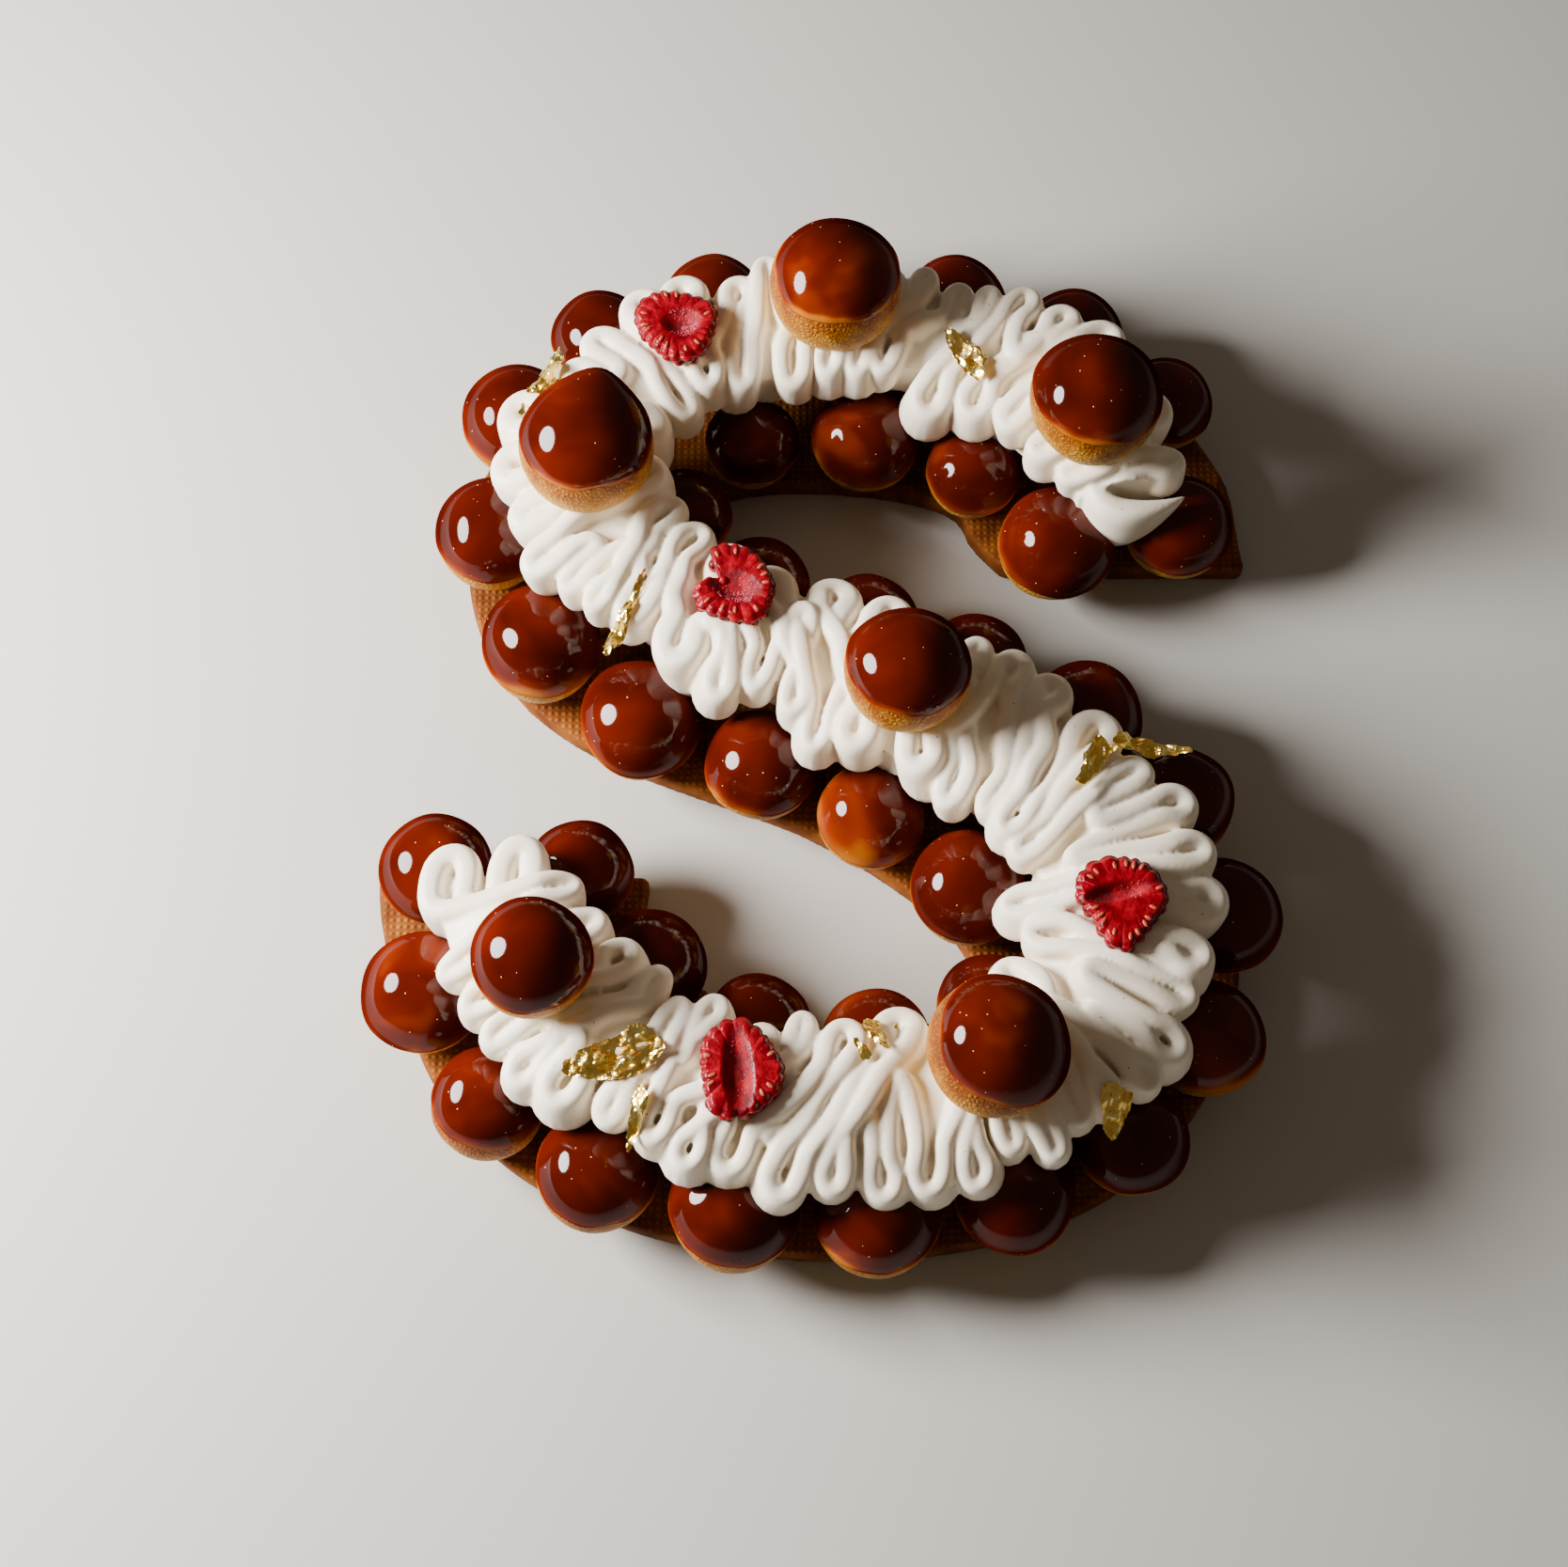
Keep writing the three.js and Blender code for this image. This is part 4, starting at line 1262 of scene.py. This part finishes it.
def drape(bm, middle, turn, length, key):
    """Lays a flat sheet over what lies below, too stiff for the hollows and in places pressed in a little."""
    place = Matrix.Translation(middle) @ Matrix.Rotation(math.radians(turn), 4, "Z")
    fold_size = min(length / FULL_FOLD_LENGTH, 1)
    folds = {}
    for vert in bm.verts:
        x, y = vert.co.x / MM, vert.co.y / MM
        folds[vert] = fold_size * (FOIL_CURL * abs(2 * x / length) ** 3 + fold_at(x, y, key)) * MM
        vert.co = place @ vert.co
        around = [surface_height(vert.co.x + dx * MM, vert.co.y + dy * MM) for dx, dy in DRAPE_REACH]
        vert.co.z = max((h for h in around if h is not None), default=0)
    least = max(v.co.z for v in bm.verts) - MOST_DROP * MM
    for vert in bm.verts:
        vert.co.z = max(vert.co.z, least)
    touched = {vert: vert.co.z for vert in bm.verts}
    for _ in range(STIFFNESS):
        bmesh.ops.smooth_vert(bm, verts=bm.verts, factor=0.5, use_axis_z=True)
    gaps = sorted(vert.co.z + folds[vert] - touched[vert] for vert in bm.verts)
    for vert in bm.verts:
        vert.co.z += folds[vert] - gaps[int(PRESSED_IN * len(gaps))]


top = puff_place("puff_top_01")[0]
print("top of the first puff", round(surface_height(top.x, top.y) / MM, 1), "mm")

# %% [markdown]
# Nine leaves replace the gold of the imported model, and three small flakes beside them have no solid of their
# own. The sheet is triangulated, so that each facet is flat, and gets a thickness of a tenth of a millimetre,
# far more than real leaf, which would be too thin for a solid. Its faces stay flat-shaded for the glints.

# %% Gold leaf: leaves and flakes
FOIL_THICKNESS = 0.1
FLAKE_KEY = 20
# x, y, length, width in mm, and the turn of the narrow end in degrees.
GOLD_LEAVES = [
    [-84, 131, 23, 11, 72],
    [48, 135, 20, 11, 130],
    [-57, 43, 29, 6.5, 66],
    [81, -9, 19, 10, 240],
    [100, 0, 25, 9, -8],
    [-57, -99, 32, 18, 198],
    [-50.5, -116, 19, 6, 256],
    [17, -91, 13, 7.5, -60],
    [83, -114, 16, 12, 260],
]
GOLD_FLAKES = [
    [-92, 117, 5, 3.5, 80],
    [12.5, -96, 8, 4.5, 120],
    [23, -87, 2.6, 1.8, 80],
]


def gold_piece(name, sheet, key, nodes):
    """Makes one leaf or flake of gold from its place, its size and its turn."""
    x, y, length, width, turn = sheet
    bm = torn_sheet(length, width, key)
    drape(bm, (Vector((x, y, 0)) - BOX_MIDDLE) * MM, turn, length, key)
    bmesh.ops.triangulate(bm, faces=bm.faces)
    bmesh.ops.solidify(bm, geom=bm.faces[:], thickness=FOIL_THICKNESS * MM)
    print(name, len(bm.faces), "faces")
    make_piece(name, bm, [foil], nodes, smooth=False)


for number, sheet in enumerate(GOLD_LEAVES, 1):
    gold_piece(f"gold_foil_{number:02d}", sheet, number, [f"gold_leaf_{number:02d}"])
for number, sheet in enumerate(GOLD_FLAKES, 1):
    gold_piece(f"gold_flake_{number}", sheet, FLAKE_KEY + number, [])

# %% [markdown]
# Each raspberry is cut lengthwise and lies cut side up, its rim a ring of cut drupelets round the hollow
# where the core was. Each was torn or pressed to its own outline, so the outline is given by how far it
# reaches at every 30 degrees, counted from +X, and a smooth curve runs by those reaches.

# %% Halved raspberries: their outlines
Berry = namedtuple("Berry", "middle reaches hollow half_length half_width turn fuzz")
# Lengths in mm and turns in degrees. The middle of the hollow is counted from that of the berry, the turn is
# that of the hollow, and fuzz is towards where its fuzz is thickest.
RASPBERRIES = [
    Berry(
        middle=(-43.5, 143),
        reaches=(12.9, 14.3, 12.5, 12.5, 14, 14.6, 12.9, 10.7, 10.6, 12.9, 13.8, 12.4),
        hollow=(2, 0),
        half_length=6,
        half_width=5,
        turn=0,
        fuzz=0,
    ),
    Berry(
        middle=(-24, 49.5),
        reaches=(12.2, 11.4, 12.5, 14, 14.5, 6, 12, 13.6, 12.1, 12.1, 14, 12.6),
        hollow=(0, -1),
        half_length=8,
        half_width=5,
        turn=160,
        fuzz=300,
    ),
    Berry(
        middle=(88, -53),
        reaches=(13, 13.3, 13.7, 13.7, 14.9, 15, 13, 10.2, 12.8, 15.3, 11.8, 11.2),
        hollow=(-2, 2),
        half_length=10,
        half_width=3,
        turn=12,
        fuzz=330,
    ),
    Berry(
        middle=(-21, -103),
        reaches=(12, 10.8, 12, 14.8, 14.6, 13.2, 11.6, 12.4, 15.8, 14.4, 12.7, 12.6),
        hollow=(-1, -2),
        half_length=13,
        half_width=4,
        turn=94,
        fuzz=10,
    ),
]


def reach_at(radii, turn):
    """How far an outline reaches at a turn in radians, on a smooth curve by its given reaches."""
    place = turn % (2 * math.pi) / (2 * math.pi) * len(radii)
    first = int(place)
    u = place - first
    a, b, c, d = (radii[(first + k) % len(radii)] for k in (-1, 0, 1, 2))
    return b + 0.5 * u * (c - a + u * (2 * a - 5 * b + 4 * c - d + u * (3 * (b - c) + d - a)))


print(len(RASPBERRIES), "raspberries")

# %% [markdown]
# The cut face is worked out point by point: it dips to the hollow, swells a little over each drupelet and
# falls off at the rim. Each point also keeps how near it is to a skin between two drupelets and to the
# hollow, because both have another colour or gloss.

# %% Halved raspberries: the cut face
CUT_HEIGHT = 11
HOLLOW_DEPTH = 2.7
DRUPELETS = 20
DRUPELET_RISE = 0.4
DRUPELET_SCALLOP = 0.06
RIM_DROP = 1.3
SKIN_SHARPNESS = 16
# From where to where each of these grows to its full size: the first two in shares of the hollow's size,
# the others in shares of the way from the middle of the berry to its outline.
HOLLOW_SLOPE = (0.3, 1.25)
HOLLOW_RIM = (0.75, 1.2)
SCALLOP_RUN = (0.6, 1)
RISE_RUN = (0.45, 0.9)
DROP_RUN = (0.86, 1)
SKIN_RUN = (0.4, 0.75)


def drupelet_at(turn, key):
    """0 between two drupelets and 1 in the middle of one, at a turn in radians."""
    wobble = 0.5 * math.sin(3 * turn + key) + 0.4 * math.sin(5 * turn + 2 * key)
    return abs(math.cos(DRUPELETS * turn / 2 + wobble))


def hollow_at(x, y, berry):
    """0 in the middle of the hollow of a berry and 1 at its rim."""
    spot = Matrix.Rotation(-math.radians(berry.turn), 2) @ Vector((x - berry.hollow[0], y - berry.hollow[1]))
    return math.hypot(spot.x / berry.half_length, spot.y / berry.half_width)


def cut_point(berry, key, turn, share):
    """A point of the cut face in mm, at a turn and a share of the reach, with its two attributes."""
    drupelet = drupelet_at(turn, key)
    reach = reach_at(berry.reaches, turn) * share
    x, y = reach * math.cos(turn), reach * math.sin(turn)
    inwards = hollow_at(x, y, berry)
    on_rim = smooth_rise(*HOLLOW_RIM, inwards)
    scallop = 1 - DRUPELET_SCALLOP * (1 - drupelet) * smooth_rise(*SCALLOP_RUN, share)
    z = CUT_HEIGHT - HOLLOW_DEPTH * (1 - smooth_rise(*HOLLOW_SLOPE, inwards))
    z += DRUPELET_RISE * (drupelet**0.6 - 1) * on_rim * smooth_rise(*RISE_RUN, share)
    z -= RIM_DROP * smooth_rise(*DROP_RUN, share)
    skin = (1 - drupelet) ** SKIN_SHARPNESS * on_rim * smooth_rise(*SKIN_RUN, share)
    return x * scallop, y * scallop, z, skin, 1 - on_rim


def cut_ball(berry, key):
    """A ball in mm, pressed to the outline of a berry, with its cut face on top."""
    bm = bmesh.new()
    bmesh.ops.create_uvsphere(bm, u_segments=12 * DRUPELETS, v_segments=48, radius=1)
    skins = bm.verts.layers.float.new("skin")
    hollows = bm.verts.layers.float.new("hollow")
    for vert in bm.verts:
        share = math.hypot(vert.co.x, vert.co.y)
        x, y, z, skin, hollow = cut_point(berry, key, math.atan2(vert.co.y, vert.co.x), share)
        vert[skins] = skin
        vert[hollows] = hollow
        below = min(vert.co.z, 0) * (CUT_HEIGHT - RIM_DROP - 0.5)
        vert.co = (x, y, z + below)
    return bm


print("cut face", CUT_HEIGHT, "mm high")

# %% [markdown]
# The flesh is wet and deep red, and light goes into it, so it gets a little scattering. It is paler along
# the skins between the drupelets, and dull in the hollow, where fine fuzz covers it.

# %% Raspberry flesh
JUICE_PATCH = 4
FLESH_GRAIN = 1.3
FLESH_GRAIN_DEPTH = 0.5
WET = 0.28
FUZZY = 0.75

flesh, place, shader = new_material(
    "raspberry_flesh",
    {
        "Roughness": WET,
        "Specular IOR Level": 0.22,
        "Subsurface Weight": 0.12,
        "Subsurface Scale": 1.5 * MM,
        "Subsurface Radius": (1.0, 0.12, 0.1),
    },
)
juice = add_node(flesh, "ShaderNodeTexNoise", {"Vector": place, "Scale": 1 / (JUICE_PATCH * MM), "Detail": 3})
red = add_node(
    flesh,
    "ShaderNodeValToRGB",
    {"Fac": juice.outputs["Fac"]},
    [(0.3, "#4c000a"), (0.5, "#780010"), (0.7, "#9c0018")],
)
skin = add_node(flesh, "ShaderNodeAttribute", attribute_name="skin").outputs["Fac"]
shade = add_node(
    flesh,
    "ShaderNodeMix",
    {"Factor": skin, "A": red.outputs["Color"], "B": linear("#b01c30")},
    data_type="RGBA",
)
hollow = add_node(flesh, "ShaderNodeAttribute", attribute_name="hollow").outputs["Fac"]
dull = add_node(flesh, "ShaderNodeMapRange", {"Value": hollow, "To Min": WET, "To Max": FUZZY})
grain = add_node(flesh, "ShaderNodeTexNoise", {"Vector": place, "Scale": 1 / (FLESH_GRAIN * MM), "Detail": 2})
bump = add_node(
    flesh,
    "ShaderNodeBump",
    {"Height": grain.outputs["Fac"], "Distance": FLESH_GRAIN_DEPTH * MM, "Strength": 0.6},
)
feed(shader, {"Base Color": shade.outputs["Result"], "Roughness": dull.outputs[0], "Normal": bump.outputs[0]})
print("flesh")

# %% [markdown]
# The seeds are dry, hard and tan, stained by the juice. The fuzz in the hollow is made of fine grains, dark
# pink so that many of them together look as pale as the real one. Both are plain finishes of one pattern.

# %% Raspberry seeds and fuzz
SPOT = 1


def spotted(name, roughness, dark, pale):
    """A finish with spots of a millimetre between a dark and a pale colour."""
    material, place, shader = new_material(name, {"Roughness": roughness})
    spots = add_node(material, "ShaderNodeTexNoise", {"Vector": place, "Scale": 1 / (SPOT * MM)})
    stops = [(0.3, dark), (0.7, pale)]
    colour = add_node(material, "ShaderNodeValToRGB", {"Fac": spots.outputs["Fac"]}, stops)
    feed(shader, {"Base Color": colour.outputs["Color"]})
    return material


seed = spotted("raspberry_seed", 0.45, "#8a2a18", "#b4583a")
fuzz = spotted("raspberry_fuzz", 0.5, "#8c1226", "#b84a60")
print("seeds and fuzz")

# %% [markdown]
# Small things sit on that form: seeds in most of the cut drupelets, three rows of whole drupelets round the
# outside, and the grains of fuzz in the hollow. All are drops, a sphere of few faces that is stretched.

# %% Halved raspberries: drops
FLESH, SEED, FUZZ = 0, 1, 2
SEED_SIZE = (1.25, 0.6, 0.3)
SEED_CHOICE = -0.3
SEED_PLACE = 0.78
SEED_PLACE_SCATTER = 0.05
SEED_TURN_SCATTER = 0.2
SEED_CLEARANCE = 1.3
# Rows of whole drupelets: their height and how far in they stand in mm, and how many there are.
OUTSIDE_ROWS = [(8, 1.7, 18), (5.3, 2.2, 17), (2.8, 4.4, 14)]
DRUPELET_SIZE = (1.9, 2.0, 1.75)
FUZZ_SIZE = (0.3, 0.2, 0.2)
FUZZ_GRAINS = 240
FUZZ_SPREAD = 2.4
FUZZ_SHARES = (0.1, 0.55)
FUZZ_REACH = 1.05


def add_drop(bm, place, turn, size, material, detail=2):
    """Adds a drop with its half sizes along, across and up."""
    matrix = Matrix.Translation(place) @ Matrix.Rotation(turn, 4, "Z") @ Matrix.Diagonal((*size, 1))
    before = len(bm.faces)
    bmesh.ops.create_icosphere(bm, subdivisions=detail, radius=1, matrix=matrix)
    bm.faces.ensure_lookup_table()
    for face in bm.faces[before:]:
        face.material_index = material


def add_seeds(bm, berry, key):
    """A seed in most of the cut drupelets, sunk to half its height."""
    for k in range(3 * DRUPELETS):
        draw = k + 70 * key
        turn = 2 * math.pi * k / (3 * DRUPELETS)
        beside = [drupelet_at(turn + step * math.pi / (3 * DRUPELETS), key) for step in (-2, 0, 2)]
        if beside[1] < max(beside) or scatter(draw, 4) < SEED_CHOICE:
            continue
        share = SEED_PLACE + SEED_PLACE_SCATTER * scatter(draw, 5)
        x, y, z, _, _ = cut_point(berry, key, turn, share)
        if hollow_at(x, y, berry) > SEED_CLEARANCE:
            add_drop(bm, (x, y, z), turn + SEED_TURN_SCATTER * scatter(draw, 6), SEED_SIZE, SEED)


def add_outside(bm, berry):
    """The whole drupelets of the outside, each row half a drupelet on from the one before."""
    for row, (height, inset, number) in enumerate(OUTSIDE_ROWS):
        for k in range(number):
            turn = 2 * math.pi * (k + 0.5 * ((row + 1) % 2)) / number
            reach = reach_at(berry.reaches, turn) - inset
            add_drop(bm, (reach * math.cos(turn), reach * math.sin(turn), height), turn, DRUPELET_SIZE, FLESH)


def add_fuzz(bm, berry, key):
    """Grains of fuzz in the hollow, thickest to one side."""
    for k in range(FUZZ_GRAINS):
        draw = k + 400 * key
        turn = math.radians(berry.fuzz) + FUZZ_SPREAD * scatter(draw, 5) * abs(scatter(draw, 8))
        share = mix(*FUZZ_SHARES, math.sqrt(abs(scatter(draw, 6))))
        x, y, z, _, _ = cut_point(berry, key, turn, share)
        if hollow_at(x, y, berry) < FUZZ_REACH:
            add_drop(bm, (x, y, z), turn, FUZZ_SIZE, FUZZ, 1)


print(sum(number for _, _, number in OUTSIDE_ROWS), "whole drupelets on each")

# %% [markdown]
# A berry is made in mm round its own middle, then scaled and moved to its place, as high as its solid stands.

# %% Halved raspberries: placing them
for key, berry in enumerate(RASPBERRIES, 1):
    node = f"raspberry_{key:02d}"
    bm = cut_ball(berry, key)
    add_seeds(bm, berry, key)
    add_outside(bm, berry)
    add_fuzz(bm, berry, key)
    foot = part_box(node)[0].z / MM
    middle = (Vector((*berry.middle, foot)) - BOX_MIDDLE) * MM
    bmesh.ops.transform(bm, matrix=Matrix.Translation(middle) @ Matrix.Scale(MM, 4), verts=bm.verts)
    print(node, "faces", len(bm.faces))
    make_piece(f"halved_{node}", bm, [flesh, seed, fuzz], [node])

# %% [markdown]
# The floor is plain matt paper, so that nothing on it draws the eye.

# %% Floor
paper, place, shader = new_material("pale_paper", {"Roughness": 0.8, "Base Color": linear("#bab7b2")})
bm = bmesh.new()
bmesh.ops.create_grid(bm, x_segments=1, y_segments=1, size=3)
mesh = bpy.data.meshes.new("floor")
bm.to_mesh(mesh)
bm.free()
mesh.materials.append(paper)
floor = bpy.data.objects.new("floor", mesh)
scene.collection.objects.link(floor)
print("floor")

# %% [markdown]
# The light is that of a food studio: one soft box low on the left, which gives each shell of caramel its
# small bright window and the cream its shadows, and a soft fill from everywhere.

# %% Light
LIGHT_FROM = Vector((-0.857, 0.05, 0.512))
LIGHT_DISTANCE = 750 * MM
LIGHT_WIDTH = 400 * MM
LIGHT_HEIGHT = 320 * MM
LIGHT_POWER = 28
FILL_STRENGTH = 0.15

light_data = bpy.data.lights.new("key_light", "AREA")
light_data.shape = "ELLIPSE"
light_data.size = LIGHT_WIDTH
light_data.size_y = LIGHT_HEIGHT
light_data.energy = LIGHT_POWER
light_data.color = linear("#fffcf8")[:3]
light = bpy.data.objects.new("key_light", light_data)
scene.collection.objects.link(light)
light.location = AIM + LIGHT_FROM.normalized() * LIGHT_DISTANCE
light.rotation_euler = LIGHT_FROM.to_track_quat("Z", "Y").to_euler()
world = bpy.data.worlds.new("studio")
world.use_nodes = True
world.node_tree.nodes["Background"].inputs[0].default_value = linear("#f0dcc4")
world.node_tree.nodes["Background"].inputs[1].default_value = FILL_STRENGTH
scene.world = world
print("light", [round(v, 2) for v in light.location])
